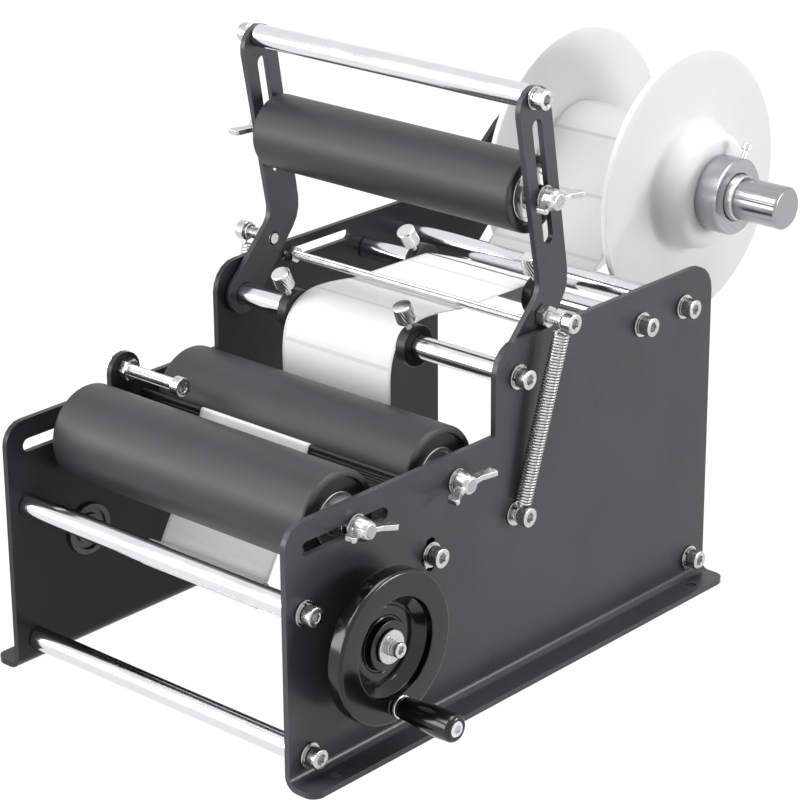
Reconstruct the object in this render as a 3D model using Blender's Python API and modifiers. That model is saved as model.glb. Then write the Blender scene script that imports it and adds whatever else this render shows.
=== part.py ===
"""Bottle labelling machine, hand cranked, as an assembly of separate pieces.

The machine frame used below has X across the machine (0 midway between the side plates), Y from the
plates' front edge to the rear, and Z up from the feet. The finished model stands with the middle of its
bounding box over the origin.
"""
import math

import bmesh
import bpy
from mathutils import Matrix, Vector

MM = 0.001

# Clearance between touching pieces, and how far cutters reach past what they cut
GAP = 0.3 * MM
CUT_SPARE = 5 * MM

# Side plates
PLATE_SPACING = 240 * MM
PLATE_T = 4 * MM
FRAME_DEPTH = 414 * MM
FRONT_HEIGHT = 171.4 * MM
REAR_HEIGHT = 229.5 * MM
STEP_Y = 189.5 * MM
FRONT_CORNER_R = 15 * MM
STEP_CORNER_R = 20 * MM
FLANGE_WIDTH = 20 * MM
FLANGE_CORNER_R = 8 * MM
BEND_R = 5 * MM
FOOT_HOLE_R = 3.5 * MM
FOOT_HOLE_INSET = 28 * MM

# Cross rods, from the edges of the plates that they stand near, and the frame's socket screws
ROD_R = 7.5 * MM
LOW_ROD_Z = 18 * MM
LOW_ROD_INSET = 17 * MM
MIDDLE_ROD_INSET = 15 * MM
MIDDLE_ROD_DROP = 58.4 * MM
GUIDE_ROD_DROP = 24.2 * MM
GUIDE_ROD_1_INSET = 21.5 * MM
GUIDE_ROD_3_INSET = 31 * MM
GUIDE_ROD_2_SHARE = 126 / 172
SCREW_R = 4 * MM
SCREW_DEPTH = 16 * MM
SCREW_HEAD_R = 6.5 * MM
SCREW_HEAD_H = 7 * MM
HOLE_PLAY = 0.5 * MM
WASHER_R = 8.3 * MM
WASHER_T = 1.3 * MM
SPRING_WASHER_R = 6.6 * MM
SPRING_WASHER_T = 1.6 * MM
NUT_FLATS = 13 * MM
NUT_H = 6.5 * MM

# Rollers, from the step and the low top edge of the plates, with their bearings and axles
LOWER_ROLLER_R = 31.5 * MM
ROLLER_DROP = 17.9 * MM
SECOND_ROLLER_INSET = 37 * MM
ROLLER_PITCH = 92 * MM
ROLLER_LENGTH = 220 * MM
ROLLER_RIM_R = 27 * MM
ROLLER_RECESS = 2 * MM
ROLLER_CHAMFER = 1.5 * MM
BEARING_R = 17.5 * MM
BEARING_WIDTH = 11 * MM
BEARING_PROUD = 1 * MM
AXLE_R = 7.5 * MM
AXLE_THREAD_R = 4 * MM
AXLE_END = 13 * MM
ROLLER_SLOT_FRONT_Y = 13.6 * MM
ROLLER_SLOT_BEHIND = 28.9 * MM
SLOT_WIDTH = 9 * MM
WING_NUT_R = 6.6 * MM
WING_NUT_H = 9 * MM
WING_REACH = 20 * MM
WING_T = 3 * MM
WING_ROOT = 1 * MM
FRONT_WING_LEAN = math.radians(-6)
SECOND_WING_LEAN = math.radians(22)
ARM_WING_LEAN = math.radians(4)

# Swinging arm, with its places as (y, z) offsets from its pivot, guide rod 1
ARM_T = 4 * MM
ARM_PLAY = 0.8 * MM
ARM_LOBE_R = 14 * MM
ARM_TOP_OFFSET = (20.5 * MM, 166.7 * MM)
ARM_HALF_WIDTH = 15 * MM
ARM_LEAN = math.radians(9.3)
KNEE_FRONT_OFFSET = (27.5 * MM, 48.2 * MM)
KNEE_REAR_OFFSET = (55.5 * MM, 44.7 * MM)
KNEE_FRONT_R = 16 * MM
KNEE_REAR_R = 25.6 * MM
ARM_ROLLER_R = 25 * MM
ARM_ROLLER_RIM_R = 22 * MM
ARM_ROLLER_REACH = 59 * MM
ARM_SLOT_START = 11 * MM
ARM_SLOT_END = 86 * MM
HANDLE_RISE = 8 * MM
HANDLE_R = 7.5 * MM
SPRING_BOLT_OFFSET = (29 * MM, 31.9 * MM)
SPRING_BOLT_STANDOFF = 20 * MM
SPRING_ANCHOR_OFFSET = (-2.3 * MM, -91.8 * MM)
SPRING_ANCHOR_STANDOFF = 6.2 * MM
SPRING_R = 4.6 * MM
SPRING_WIRE_R = 0.75 * MM
SPRING_PITCH = 5 * MM
SPRING_HOOK_R = 5.2 * MM
SPRING_HOOK_ROOM = 8 * MM
THREAD_SPARE = 2 * MM

# Stop rod in the left plate's slot, and the bottle stop on its ear
STOP_ROD_R = 3 * MM
STOP_ROD_BEHIND = 51 * MM
STOP_ROD_DROP = 9.8 * MM
STOP_ROD_RIGHT = 111 * MM
STOP_ROD_SPARE = 3 * MM
STOP_ROD_CHAMFER = 0.5 * MM
STOP_SLOT_AHEAD = 9 * MM
STOP_SLOT_INSET = 16 * MM
STOP_SLOT_WIDTH = 7.6 * MM
SMALL_NUT_FLATS = 10 * MM
SMALL_NUT_H = 5 * MM
EAR_INSET = 48.5 * MM
EAR_HALF_WIDTH = 13 * MM
EAR_RISE = 20.6 * MM
BOTTLE_STOP_DROP = 11 * MM
BOTTLE_STOP_REACH = 47.5 * MM

# Peel plate, from the second roller's axis
PEEL_AHEAD = 35.9 * MM
PEEL_RISE = 9.9 * MM
PEEL_HEIGHT = 59.4 * MM
PEEL_BLADE_T = 3.2 * MM
PEEL_BASE_DEPTH = 20.4 * MM
PEEL_BASE_H = 15 * MM
PEEL_BASE_EDGE_R = 3 * MM
PEEL_FRONT_EDGE_R = 1.5 * MM
PEEL_SCREW_BEHIND = 11.4 * MM
PEEL_SCREW_RISE = 8.2 * MM
PEEL_SLOT_LENGTH = 23 * MM
PEEL_RIB_PITCH = 2 * MM
PEEL_RIB_DEPTH = 0.6 * MM
PEEL_RIB_COUNT = 21

# Guide collars on guide rods 1 and 2
COLLAR_R = 14 * MM
COLLAR_WIDTH = 8.6 * MM
COLLAR_CHAMFER = 1 * MM
THUMB_STEM_R = 2 * MM
THUMB_STEM = 5.5 * MM
THUMB_HEAD_R = 6.3 * MM
THUMB_HEAD_H = 13 * MM
THUMB_CHAMFER = 0.8 * MM
THUMB_LEAN_LEFT = math.radians(13)
THUMB_LEAN_RIGHT = math.radians(5)

# Label web and rolls
WEB_WIDTH = 96 * MM
WEB_X = -15.2 * MM
WEB_T = 0.4 * MM
ROLL_R = 43.4 * MM
CORE_BORE_R = 38 * MM
WRAP_STEP = 10
WEB_TO_DISC = 0.6 * MM
SLACK_AHEAD = 12 * MM
SLACK_FALL = 60 * MM
SLACK_DROP = 30 * MM

# Drive shaft, handwheel and grip
DRIVE = (65 * MM, 80 * MM)
DRIVE_R = 7.5 * MM
DRIVE_BEARING_R = 15 * MM
DRIVE_FLANGE_R = 17.5 * MM
DRIVE_FLANGE_T = 2.5 * MM
DRIVE_LEFT_SPARE = 2 * MM
DRIVE_BORE_DEPTH = 12 * MM
WHEEL_R = 49.3 * MM
WHEEL_FACE_X = 152.2 * MM
WHEEL_RIM_T = 12.5 * MM
WHEEL_EDGE_R = 2 * MM
WHEEL_RECESS_R = 32.6 * MM
WHEEL_RECESS_WALL = 4.4 * MM
WHEEL_CONE_R = 27.5 * MM
WHEEL_CONE_DEPTH = 9.1 * MM
WHEEL_WEB_R = 24.7 * MM
WHEEL_WEB_DEPTH = 10.2 * MM
WHEEL_GROOVE = 0.8 * MM
WHEEL_SEAT_R = 6 * MM
WHEEL_SEAT_DEPTH = 6 * MM
WHEEL_HUB_R = 16.3 * MM
WHEEL_HUB_BACK_R = 13 * MM
WHEEL_HUB_BACK_X = 131 * MM
WHEEL_HUB_SLOPE = 2 * MM
WHEEL_SCREW_R = 2.5 * MM
GRIP_OFFSET = 39 * MM
GRIP_ANGLE = math.radians(-87)
GRIP_LENGTH = 46 * MM
GRIP_BASE_R = 7 * MM
GRIP_BELLY_R = 9.4 * MM
GRIP_BELLY_INSET = 10 * MM
GRIP_END_R = 1.2 * MM
GRIP_RING_T = 2.5 * MM
GRIP_RING_R = 7.6 * MM
GRIP_STUD_R = 3 * MM
STUD_HEAD_R = 5.2 * MM
STUD_HEAD_T = 3 * MM
STUD_CHAMFER = 0.6 * MM

# Spindle, discs and set collars
SPINDLE_REACH = 82.4 * MM
SPINDLE_RISE = 16.5 * MM
TOWER_END_R = 24.5 * MM
TOWER_ROOT_REACH = 23 * MM
TOWER_REAR_DROP = 92.5 * MM
SPINDLE_R = 15 * MM
SPINDLE_END_X = 125.9 * MM
SPINDLE_CHAMFER = 1.5 * MM
SPINDLE_STUB_R = 10 * MM
SPINDLE_STUB_SPARE = 1 * MM
SPINDLE_HOUSING_R = 22 * MM
SPINDLE_HOUSING_T = 12.5 * MM
DISC_R = 97 * MM
DISC_T = 5 * MM
DISC_BOSS_R = 44 * MM
DISC_BOSS_H = 22 * MM
DISC_BOSS_CORNER = 8 * MM
DISC_BOSS_INSET = 10 * MM
DISC_BOSS_FLARE = 6 * MM
DISC_ROOT_FLARE = 4 * MM
DISC_HUB_H = 12 * MM
SET_COLLAR_R = 27 * MM
SET_COLLAR_WIDTH = 17.5 * MM
SET_COLLAR_CHAMFER = 1 * MM
SET_COLLAR_STEP_R = 19.5 * MM
SET_COLLAR_STEP = 2.5 * MM
FAR_COLLAR_CLEAR = 5 * MM

# Values worked out from the sizes above
HALF = PLATE_SPACING / 2
OUTER = HALF + PLATE_T
ARM_OUTER = HALF - ARM_PLAY
ARM_INNER = ARM_OUTER - ARM_T
GUIDE_ROD_Z = REAR_HEIGHT - GUIDE_ROD_DROP
GUIDE_ROD_1_Y = STEP_Y + GUIDE_ROD_1_INSET
GUIDE_ROD_3_Y = FRAME_DEPTH - GUIDE_ROD_3_INSET
GUIDE_ROD_2_Y = GUIDE_ROD_1_Y + (GUIDE_ROD_3_Y - GUIDE_ROD_1_Y) * GUIDE_ROD_2_SHARE
GUIDE_ROD_1 = (GUIDE_ROD_1_Y, GUIDE_ROD_Z)
GUIDE_ROD_2 = (GUIDE_ROD_2_Y, GUIDE_ROD_Z)
GUIDE_ROD_3 = (GUIDE_ROD_3_Y, GUIDE_ROD_Z)
RODS = {
    "front_low_rod": (LOW_ROD_INSET, LOW_ROD_Z),
    "front_middle_rod": (MIDDLE_ROD_INSET, FRONT_HEIGHT - MIDDLE_ROD_DROP),
    "rear_low_rod": (FRAME_DEPTH - LOW_ROD_INSET, LOW_ROD_Z),
    "guide_rod_1": GUIDE_ROD_1,
    "guide_rod_2": GUIDE_ROD_2,
    "guide_rod_3": GUIDE_ROD_3,
}
SCREW_HOLE_R = SCREW_R + HOLE_PLAY
STACK_T = WASHER_T + SPRING_WASHER_T
ROLLER_Z = FRONT_HEIGHT - ROLLER_DROP
SECOND_ROLLER_Y = STEP_Y - SECOND_ROLLER_INSET
FRONT_ROLLER_Y = SECOND_ROLLER_Y - ROLLER_PITCH
FRONT_ROLLER = (FRONT_ROLLER_Y, ROLLER_Z)
SECOND_ROLLER = (SECOND_ROLLER_Y, ROLLER_Z)
ROLLER_SLOT_REAR_Y = FRONT_ROLLER_Y + ROLLER_SLOT_BEHIND
ARM_DOWN = (math.sin(ARM_LEAN), -math.cos(ARM_LEAN))
ARM_TOP = (GUIDE_ROD_1[0] + ARM_TOP_OFFSET[0], GUIDE_ROD_1[1] + ARM_TOP_OFFSET[1])
ARM_KNEE_FRONT = (GUIDE_ROD_1[0] + KNEE_FRONT_OFFSET[0], GUIDE_ROD_1[1] + KNEE_FRONT_OFFSET[1])
ARM_KNEE_REAR = (GUIDE_ROD_1[0] + KNEE_REAR_OFFSET[0], GUIDE_ROD_1[1] + KNEE_REAR_OFFSET[1])
SPRING_BOLT = (GUIDE_ROD_1[0] + SPRING_BOLT_OFFSET[0], GUIDE_ROD_1[1] + SPRING_BOLT_OFFSET[1])
SPRING_ANCHOR = (GUIDE_ROD_1[0] + SPRING_ANCHOR_OFFSET[0], GUIDE_ROD_1[1] + SPRING_ANCHOR_OFFSET[1])
ARM_ROLLER = (ARM_TOP[0] + ARM_DOWN[0] * ARM_ROLLER_REACH, ARM_TOP[1] + ARM_DOWN[1] * ARM_ROLLER_REACH)
HANDLE = (ARM_TOP[0] - ARM_DOWN[0] * HANDLE_RISE, ARM_TOP[1] - ARM_DOWN[1] * HANDLE_RISE)
STOP_ROD = (GUIDE_ROD_1_Y + STOP_ROD_BEHIND, REAR_HEIGHT - STOP_ROD_DROP)
STOP_SLOT_FRONT_Y = STOP_ROD[0] - STOP_SLOT_AHEAD
STOP_SLOT_REAR_Y = GUIDE_ROD_2_Y - STOP_SLOT_INSET
EAR_Y = SECOND_ROLLER_Y - EAR_INSET
EAR_TOP = FRONT_HEIGHT + EAR_RISE
BOTTLE_STOP = (EAR_Y, EAR_TOP - BOTTLE_STOP_DROP)
PEEL_FRONT_Y = SECOND_ROLLER_Y - PEEL_AHEAD
PEEL_TOP = ROLLER_Z + PEEL_RISE
PEEL_BASE_BOTTOM = PEEL_TOP - PEEL_HEIGHT
PEEL_BASE_TOP = PEEL_BASE_BOTTOM + PEEL_BASE_H
PEEL_BASE_REAR_Y = PEEL_FRONT_Y + PEEL_BASE_DEPTH
PEEL_SCREW = (PEEL_FRONT_Y + PEEL_SCREW_BEHIND, PEEL_BASE_BOTTOM + PEEL_SCREW_RISE)
WHEEL_SEAT_X = WHEEL_FACE_X - WHEEL_SEAT_DEPTH
WHEEL_BACK_X = WHEEL_FACE_X - WHEEL_RIM_T
GRIP = (DRIVE[0] + GRIP_OFFSET * math.cos(GRIP_ANGLE), DRIVE[1] + GRIP_OFFSET * math.sin(GRIP_ANGLE))
GRIP_START_X = WHEEL_FACE_X + GAP
GRIP_END_X = GRIP_START_X + GRIP_LENGTH + GAP
SPINDLE = (FRAME_DEPTH + SPINDLE_REACH, REAR_HEIGHT + SPINDLE_RISE)
TOWER_ROOT = (FRAME_DEPTH + TOWER_ROOT_REACH, REAR_HEIGHT)
TOWER_REAR = (FRAME_DEPTH, REAR_HEIGHT - TOWER_REAR_DROP)
DISC_INNER_OFFSET = WEB_WIDTH / 2 + WEB_TO_DISC
HOUSING_FACE = HALF - GAP - SPINDLE_HOUSING_T
COLLAR_SEAT = DISC_T + DISC_BOSS_H + GAP
FAR_DISC_X = FAR_COLLAR_CLEAR + SET_COLLAR_WIDTH + COLLAR_SEAT - HOUSING_FACE
ROLL_X = FAR_DISC_X + DISC_INNER_OFFSET
NEAR_DISC_X = ROLL_X + DISC_INNER_OFFSET
FOOT_OUTER = OUTER + FLANGE_WIDTH
DRIFT_START_Y = GUIDE_ROD_2_Y + COLLAR_R
DRIFT_END_Y = SPINDLE[0] - DISC_R + PLATE_T
SPRING_BOLT_END_X = ARM_OUTER + SPRING_BOLT_STANDOFF + SCREW_HEAD_H
MODEL_SHIFT = Vector((-(GRIP_END_X - SPRING_BOLT_END_X) / 2, -(SPINDLE[0] + DISC_R) / 2, 0))

# Machine YZ planes: local x runs along Y, local y along Z, and the thickness along X
ACROSS = Matrix(((0, 0, 1, 0), (1, 0, 0, 0), (0, 1, 0, 0), (0, 0, 0, 1)))
# Machine XZ planes: local x runs along X, local y along Z, and the thickness along Y
ALONG = Matrix(((1, 0, 0, 0), (0, 0, -1, 0), (0, 1, 0, 0), (0, 0, 0, 1)))
# A turned piece's own Z axis laid along the machine's X
TURN_TO_X = Matrix.Rotation(math.pi / 2, 4, "Y")
MIRROR = Matrix.Scale(-1, 4, (1, 0, 0))


def clear_scene():
    for item in list(bpy.data.objects):
        bpy.data.objects.remove(item, do_unlink=True)


def new_collection(name):
    collection = bpy.data.collections.new(name)
    bpy.context.scene.collection.children.link(collection)
    return collection


clear_scene()
PARTS = new_collection("bottle_labelling_machine")
CUTTERS = new_collection("cutters")
ROOT = bpy.data.objects.new("machine_origin", None)
ROOT.location = MODEL_SHIFT
PARTS.objects.link(ROOT)


def material(name, colour, roughness, metallic=0.0):
    made = bpy.data.materials.new(name)
    made.use_nodes = True
    shader = made.node_tree.nodes["Principled BSDF"]
    shader.inputs["Base Color"].default_value = (*colour, 1)
    shader.inputs["Roughness"].default_value = roughness
    shader.inputs["Metallic"].default_value = metallic
    return made


POWDER_COAT = ("powder_coat", (0.055, 0.057, 0.062), 0.45, 0.0)
CHROME = ("chrome", (0.85, 0.86, 0.88), 0.08, 1.0)
ZINC = ("zinc", (0.75, 0.76, 0.77), 0.25, 1.0)
STEEL = ("steel", (0.62, 0.63, 0.65), 0.3, 1.0)
RUBBER = ("rubber", (0.045, 0.047, 0.05), 0.6, 0.0)
BLACK_PLASTIC = ("black_plastic", (0.012, 0.012, 0.013), 0.12, 0.0)
BLACK_STEEL = ("black_steel", (0.03, 0.03, 0.032), 0.4, 0.3)
DISC_PLASTIC = ("disc_plastic", (0.86, 0.87, 0.88), 0.4, 0.0)
PAPER = ("paper", (0.86, 0.86, 0.87), 0.6, 0.0)


def arc(centre, radius, start_deg, end_deg, step_deg=20):
    """Points along an arc in a plane, ends included."""
    count = max(2, math.ceil(abs(end_deg - start_deg) / step_deg))
    points = []
    for index in range(count + 1):
        angle = math.radians(start_deg + (end_deg - start_deg) * index / count)
        points.append((centre[0] + radius * math.cos(angle), centre[1] + radius * math.sin(angle)))
    return points


def circle(centre, radius, count=16):
    """Points of a full circle, whose flats touch the true radius."""
    outer = radius / math.cos(math.pi / count)
    points = []
    for index in range(count):
        angle = 2 * math.pi * (index + 0.5) / count
        points.append((centre[0] + outer * math.cos(angle), centre[1] + outer * math.sin(angle)))
    return points


def slot(first, second, width):
    """Outline of a slot whose round ends are centred on two points."""
    angle = math.degrees(math.atan2(second[1] - first[1], second[0] - first[0]))
    ahead = arc(second, width / 2, angle - 90, angle + 90, 30)
    behind = arc(first, width / 2, angle + 90, angle + 270, 30)
    return ahead + behind


def rounded(corners, step_deg=18):
    """Outline through (x, y, radius) corners, each rounded by its radius."""
    points = []
    for index, (x, y, radius) in enumerate(corners):
        here = Vector((x, y))
        before = (Vector(corners[index - 1][:2]) - here).normalized()
        after = (Vector(corners[(index + 1) % len(corners)][:2]) - here).normalized()
        if radius <= 0:
            points.append((x, y))
            continue
        half = math.acos(max(-1, min(1, before.dot(after)))) / 2
        centre = here + (before + after).normalized() * radius / math.sin(half)
        start = here + before * radius / math.tan(half) - centre
        turn = math.pi - 2 * half
        if before.x * after.y - before.y * after.x > 0:
            turn = -turn
        count = max(1, math.ceil(math.degrees(abs(turn)) / step_deg))
        for step in range(count + 1):
            spun = Matrix.Rotation(turn * step / count, 2) @ start
            points.append((centre.x + spun.x, centre.y + spun.y))
    return points


def tidy_mesh(mesh):
    """Weld a closed mesh's loose seams and turn its faces outwards."""
    work = bmesh.new()
    work.from_mesh(mesh)
    bmesh.ops.remove_doubles(work, verts=work.verts, dist=0.002 * MM)
    bmesh.ops.recalc_face_normals(work, faces=work.faces)
    work.to_mesh(mesh)
    work.free()
    return mesh


def evaluated_mesh(source):
    """The mesh that an object's curve data or modifiers make, with the object then removed."""
    if source.name not in bpy.context.scene.collection.all_objects:
        CUTTERS.objects.link(source)
    bpy.context.view_layer.update()
    graph = bpy.context.evaluated_depsgraph_get()
    mesh = bpy.data.meshes.new_from_object(source.evaluated_get(graph))
    mesh.transform(source.matrix_world)
    bpy.data.objects.remove(source, do_unlink=True)
    return tidy_mesh(mesh)


def flat_mesh(outlines, thickness, middle=0.0, plane=ACROSS):
    """A flat piece from closed outlines, the first outside and the rest its holes."""
    curve = bpy.data.curves.new("outline", "CURVE")
    curve.dimensions = "2D"
    curve.fill_mode = "BOTH"
    curve.extrude = thickness / 2
    for outline in outlines:
        spline = curve.splines.new("POLY")
        spline.points.add(len(outline) - 1)
        for point, (x, y) in zip(spline.points, outline):
            point.co = (x, y, 0, 1)
        spline.use_cyclic_u = True
    source = bpy.data.objects.new("outline", curve)
    source.matrix_world = plane @ Matrix.Translation((0, 0, middle))
    return evaluated_mesh(source)


def turned_mesh(profile, segments, closed=False):
    """A piece turned about the machine's X axis from (x, radius) points, largest x first."""
    mesh = bpy.data.meshes.new("profile")
    points = [(radius, 0, x) for x, radius in profile]
    edges = [(index, index + 1) for index in range(len(points) - 1)]
    if closed:
        edges.append((len(points) - 1, 0))
    mesh.from_pydata(points, edges, [])
    source = bpy.data.objects.new("profile", mesh)
    screw = source.modifiers.new("turn", "SCREW")
    screw.axis = "Z"
    screw.steps = segments
    screw.render_steps = segments
    screw.use_merge_vertices = True
    screw.merge_threshold = 0.01 * MM
    source.matrix_world = TURN_TO_X
    return evaluated_mesh(source)


def rod_mesh(low, high, radius, segments=12, chamfer=0.0):
    """A plain round bar along X."""
    rim = [(high, radius - chamfer), (high - chamfer, radius)] if chamfer else [(high, radius)]
    foot = [(low + chamfer, radius), (low, radius - chamfer)] if chamfer else [(low, radius)]
    return turned_mesh([(high, 0)] + rim + foot + [(low, 0)], segments)


def ring_mesh(low, high, radius, bore, segments=16, chamfer=0.0):
    """A plain ring around X."""
    rim = [(high, radius - chamfer), (high - chamfer, radius)] if chamfer else [(high, radius)]
    foot = [(low + chamfer, radius), (low, radius - chamfer)] if chamfer else [(low, radius)]
    return turned_mesh([(high, bore)] + rim + foot + [(low, bore)], segments, closed=True)


def nut_mesh(low, height, flats):
    """A hexagon nut around X with a flat below and above, to be joined to its bolt."""
    return flat_mesh([circle((0, 0), flats / 2, 6)], height, low + height / 2)


def at(place, x=0.0):
    """Moves a piece made on the X axis to a (y, z) place."""
    return Matrix.Translation((x, place[0], place[1]))


def moved(mesh, matrix, mirror=False):
    """A copy of a mesh in its place, or in the mirrored place on the left."""
    copy = mesh.copy()
    copy.transform(MIRROR @ matrix if mirror else matrix)
    return tidy_mesh(copy)


SIDES = (("left", True), ("right", False))


def combined(base, tools, operation):
    """The exact union, difference or intersection of a mesh with each tool mesh in turn."""
    target = bpy.data.objects.new("base", base)
    CUTTERS.objects.link(target)
    helpers = []
    for tool in tools:
        helper = bpy.data.objects.new("tool", tool)
        helper.display_type = "WIRE"
        helper.hide_render = True
        CUTTERS.objects.link(helper)
        helpers.append(helper)
        step = target.modifiers.new("combine", "BOOLEAN")
        step.operation = operation
        step.solver = "EXACT"
        step.object = helper
    result = evaluated_mesh(target)
    for helper in helpers:
        bpy.data.objects.remove(helper, do_unlink=True)
    return result


def add_part(name, mesh, look, pivot=(0, 0, 0), smooth_deg=35):
    """Put a finished mesh in the model, with its origin on the joint that carries it."""
    mesh.name = name
    mesh.transform(Matrix.Translation(-Vector(pivot)))
    made = bpy.data.objects.new(name, mesh)
    mesh.materials.clear()
    mesh.materials.append(material(name, *look[1:]))
    mesh.shade_smooth()
    mesh.set_sharp_from_angle(angle=math.radians(smooth_deg))
    made.parent = ROOT
    made.location = pivot
    PARTS.objects.link(made)
    return made


def on_axis(place, x=0.0):
    """The pivot point of a piece that turns about X at a (y, z) place."""
    return (x, place[0], place[1])


def tangent_angle(centre, point, radius, side):
    """Angle at which a line from a point touches a circle, on the side of +1 or -1."""
    away = Vector(point) - Vector(centre)
    return math.degrees(math.atan2(away.y, away.x)) + side * math.degrees(math.acos(radius / away.length))


def side_outline(has_tower):
    """Side view of a plate: low in front, a step up, and on the left the inclined tower."""
    step_r = min(STEP_CORNER_R, (REAR_HEIGHT - FRONT_HEIGHT) * 0.9)
    corners = [
        (0, -CUT_SPARE, 0),
        (0, FRONT_HEIGHT, FRONT_CORNER_R),
        (STEP_Y, FRONT_HEIGHT, 0),
        (STEP_Y, REAR_HEIGHT, step_r),
        (FRAME_DEPTH, REAR_HEIGHT, STEP_CORNER_R),
        (FRAME_DEPTH, -CUT_SPARE, 0),
    ]
    if not has_tower:
        return rounded(corners)
    ear_r = EAR_HALF_WIDTH * 0.99
    ear = [
        (EAR_Y - EAR_HALF_WIDTH, FRONT_HEIGHT, 0),
        (EAR_Y - EAR_HALF_WIDTH, EAR_TOP, ear_r),
        (EAR_Y + EAR_HALF_WIDTH, EAR_TOP, ear_r),
        (EAR_Y + EAR_HALF_WIDTH, FRONT_HEIGHT, 0),
    ]
    front = rounded(corners[:2] + ear + corners[2:4] + [(*TOWER_ROOT, 0), (*TOWER_REAR, 0), corners[-1]])
    start = tangent_angle(SPINDLE, TOWER_ROOT, TOWER_END_R, -1)
    end = tangent_angle(SPINDLE, TOWER_REAR, TOWER_END_R, 1)
    return front[:-2] + arc(SPINDLE, TOWER_END_R, start, end - 360) + front[-2:]


def bent_sheet(depth, height):
    """An L section, upright with a foot bent outwards, drawn out along Y past both ends."""
    section = rounded([
        (HALF, height, 0),
        (HALF, 0, BEND_R + PLATE_T),
        (FOOT_OUTER, 0, 0),
        (FOOT_OUTER, PLATE_T, 0),
        (OUTER, PLATE_T, BEND_R),
        (OUTER, height, 0),
    ])
    return flat_mesh([section], depth + 2 * CUT_SPARE, -depth / 2, ALONG)


def foot_corner(y, inwards):
    """Cutter that rounds a corner of the foot at one end of the plate."""
    centre = (FOOT_OUTER - FLANGE_CORNER_R, y + inwards * FLANGE_CORNER_R)
    rounding = arc(centre, FLANGE_CORNER_R, -5 * inwards, -85 * inwards)
    far_x = FOOT_OUTER + CUT_SPARE
    far_y = y - inwards * CUT_SPARE
    outline = rounding + [(rounding[-1][0], far_y), (far_x, far_y), (far_x, rounding[0][1])]
    return flat_mesh([outline], 4 * PLATE_T, PLATE_T / 2, Matrix())


def side_plate(name, is_left):
    """A side plate: bent sheet, trimmed to its side view with the holes, and to its rounded foot."""
    reach = SPINDLE[0] + TOWER_END_R if is_left else FRAME_DEPTH
    top = SPINDLE[1] + TOWER_END_R if is_left else REAR_HEIGHT
    sheet = bent_sheet(reach, top + CUT_SPARE)
    holes = [circle(place, SCREW_HOLE_R, 12) for place in RODS.values()]
    holes.append(circle(SPRING_ANCHOR, SCREW_HOLE_R, 12))
    holes.append(circle(SECOND_ROLLER, SLOT_WIDTH / 2, 12))
    holes.append(circle(DRIVE, DRIVE_BEARING_R + GAP, 24))
    half_slot = SLOT_WIDTH / 2
    front_end = (ROLLER_SLOT_FRONT_Y + half_slot, ROLLER_Z)
    rear_end = (ROLLER_SLOT_REAR_Y - half_slot, ROLLER_Z)
    holes.append(slot(front_end, rear_end, SLOT_WIDTH))
    peel_half = (PEEL_SLOT_LENGTH - SLOT_WIDTH) / 2
    peel_low = (PEEL_SCREW[0], PEEL_SCREW[1] - peel_half)
    peel_high = (PEEL_SCREW[0], PEEL_SCREW[1] + peel_half)
    holes.append(slot(peel_low, peel_high, SLOT_WIDTH))
    if is_left:
        half_stop = STOP_SLOT_WIDTH / 2
        stop_front = (STOP_SLOT_FRONT_Y + half_stop, STOP_ROD[1])
        stop_rear = (STOP_SLOT_REAR_Y - half_stop, STOP_ROD[1])
        holes.append(slot(stop_front, stop_rear, STOP_SLOT_WIDTH))
        holes.append(circle(BOTTLE_STOP, SCREW_HOLE_R, 12))
        holes.append(circle(SPINDLE, SPINDLE_STUB_R + HOLE_PLAY, 20))
    width = FOOT_OUTER - HALF + 2 * CUT_SPARE
    side_view = flat_mesh([side_outline(is_left)] + holes, width, (HALF + FOOT_OUTER) / 2)
    mesh = combined(sheet, [side_view], "INTERSECT")
    foot_x = (OUTER + BEND_R / 2 + FOOT_OUTER) / 2
    feet = [flat_mesh([circle((foot_x, y), FOOT_HOLE_R, 12)], 4 * PLATE_T, PLATE_T / 2, Matrix())
            for y in (FOOT_HOLE_INSET, FRAME_DEPTH - FOOT_HOLE_INSET)]
    mesh = combined(mesh, feet + [foot_corner(0, 1), foot_corner(FRAME_DEPTH, -1)], "DIFFERENCE")
    if is_left:
        mesh.transform(Matrix.Scale(-1, 4, (1, 0, 0)))
        tidy_mesh(mesh)
    add_part(name, mesh, POWDER_COAT)


def socket_screw(seat_x, depth, radius=SCREW_R, head_r=SCREW_HEAD_R, head_h=SCREW_HEAD_H, segments=12):
    """A socket-head screw along X: its head stands on seat_x and its shank runs inwards."""
    return turned_mesh([
        (seat_x + head_h, 0),
        (seat_x + head_h, head_r),
        (seat_x, head_r),
        (seat_x, radius),
        (seat_x - depth, radius),
        (seat_x - depth, 0),
    ], segments)


def frame():
    side_plate("left_side_plate", True)
    side_plate("right_side_plate", False)
    for name, place in RODS.items():
        mesh = rod_mesh(GAP - HALF, HALF - GAP, ROD_R, 16)
        mesh.transform(at(place))
        add_part(name, mesh, CHROME, on_axis(place))


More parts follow.
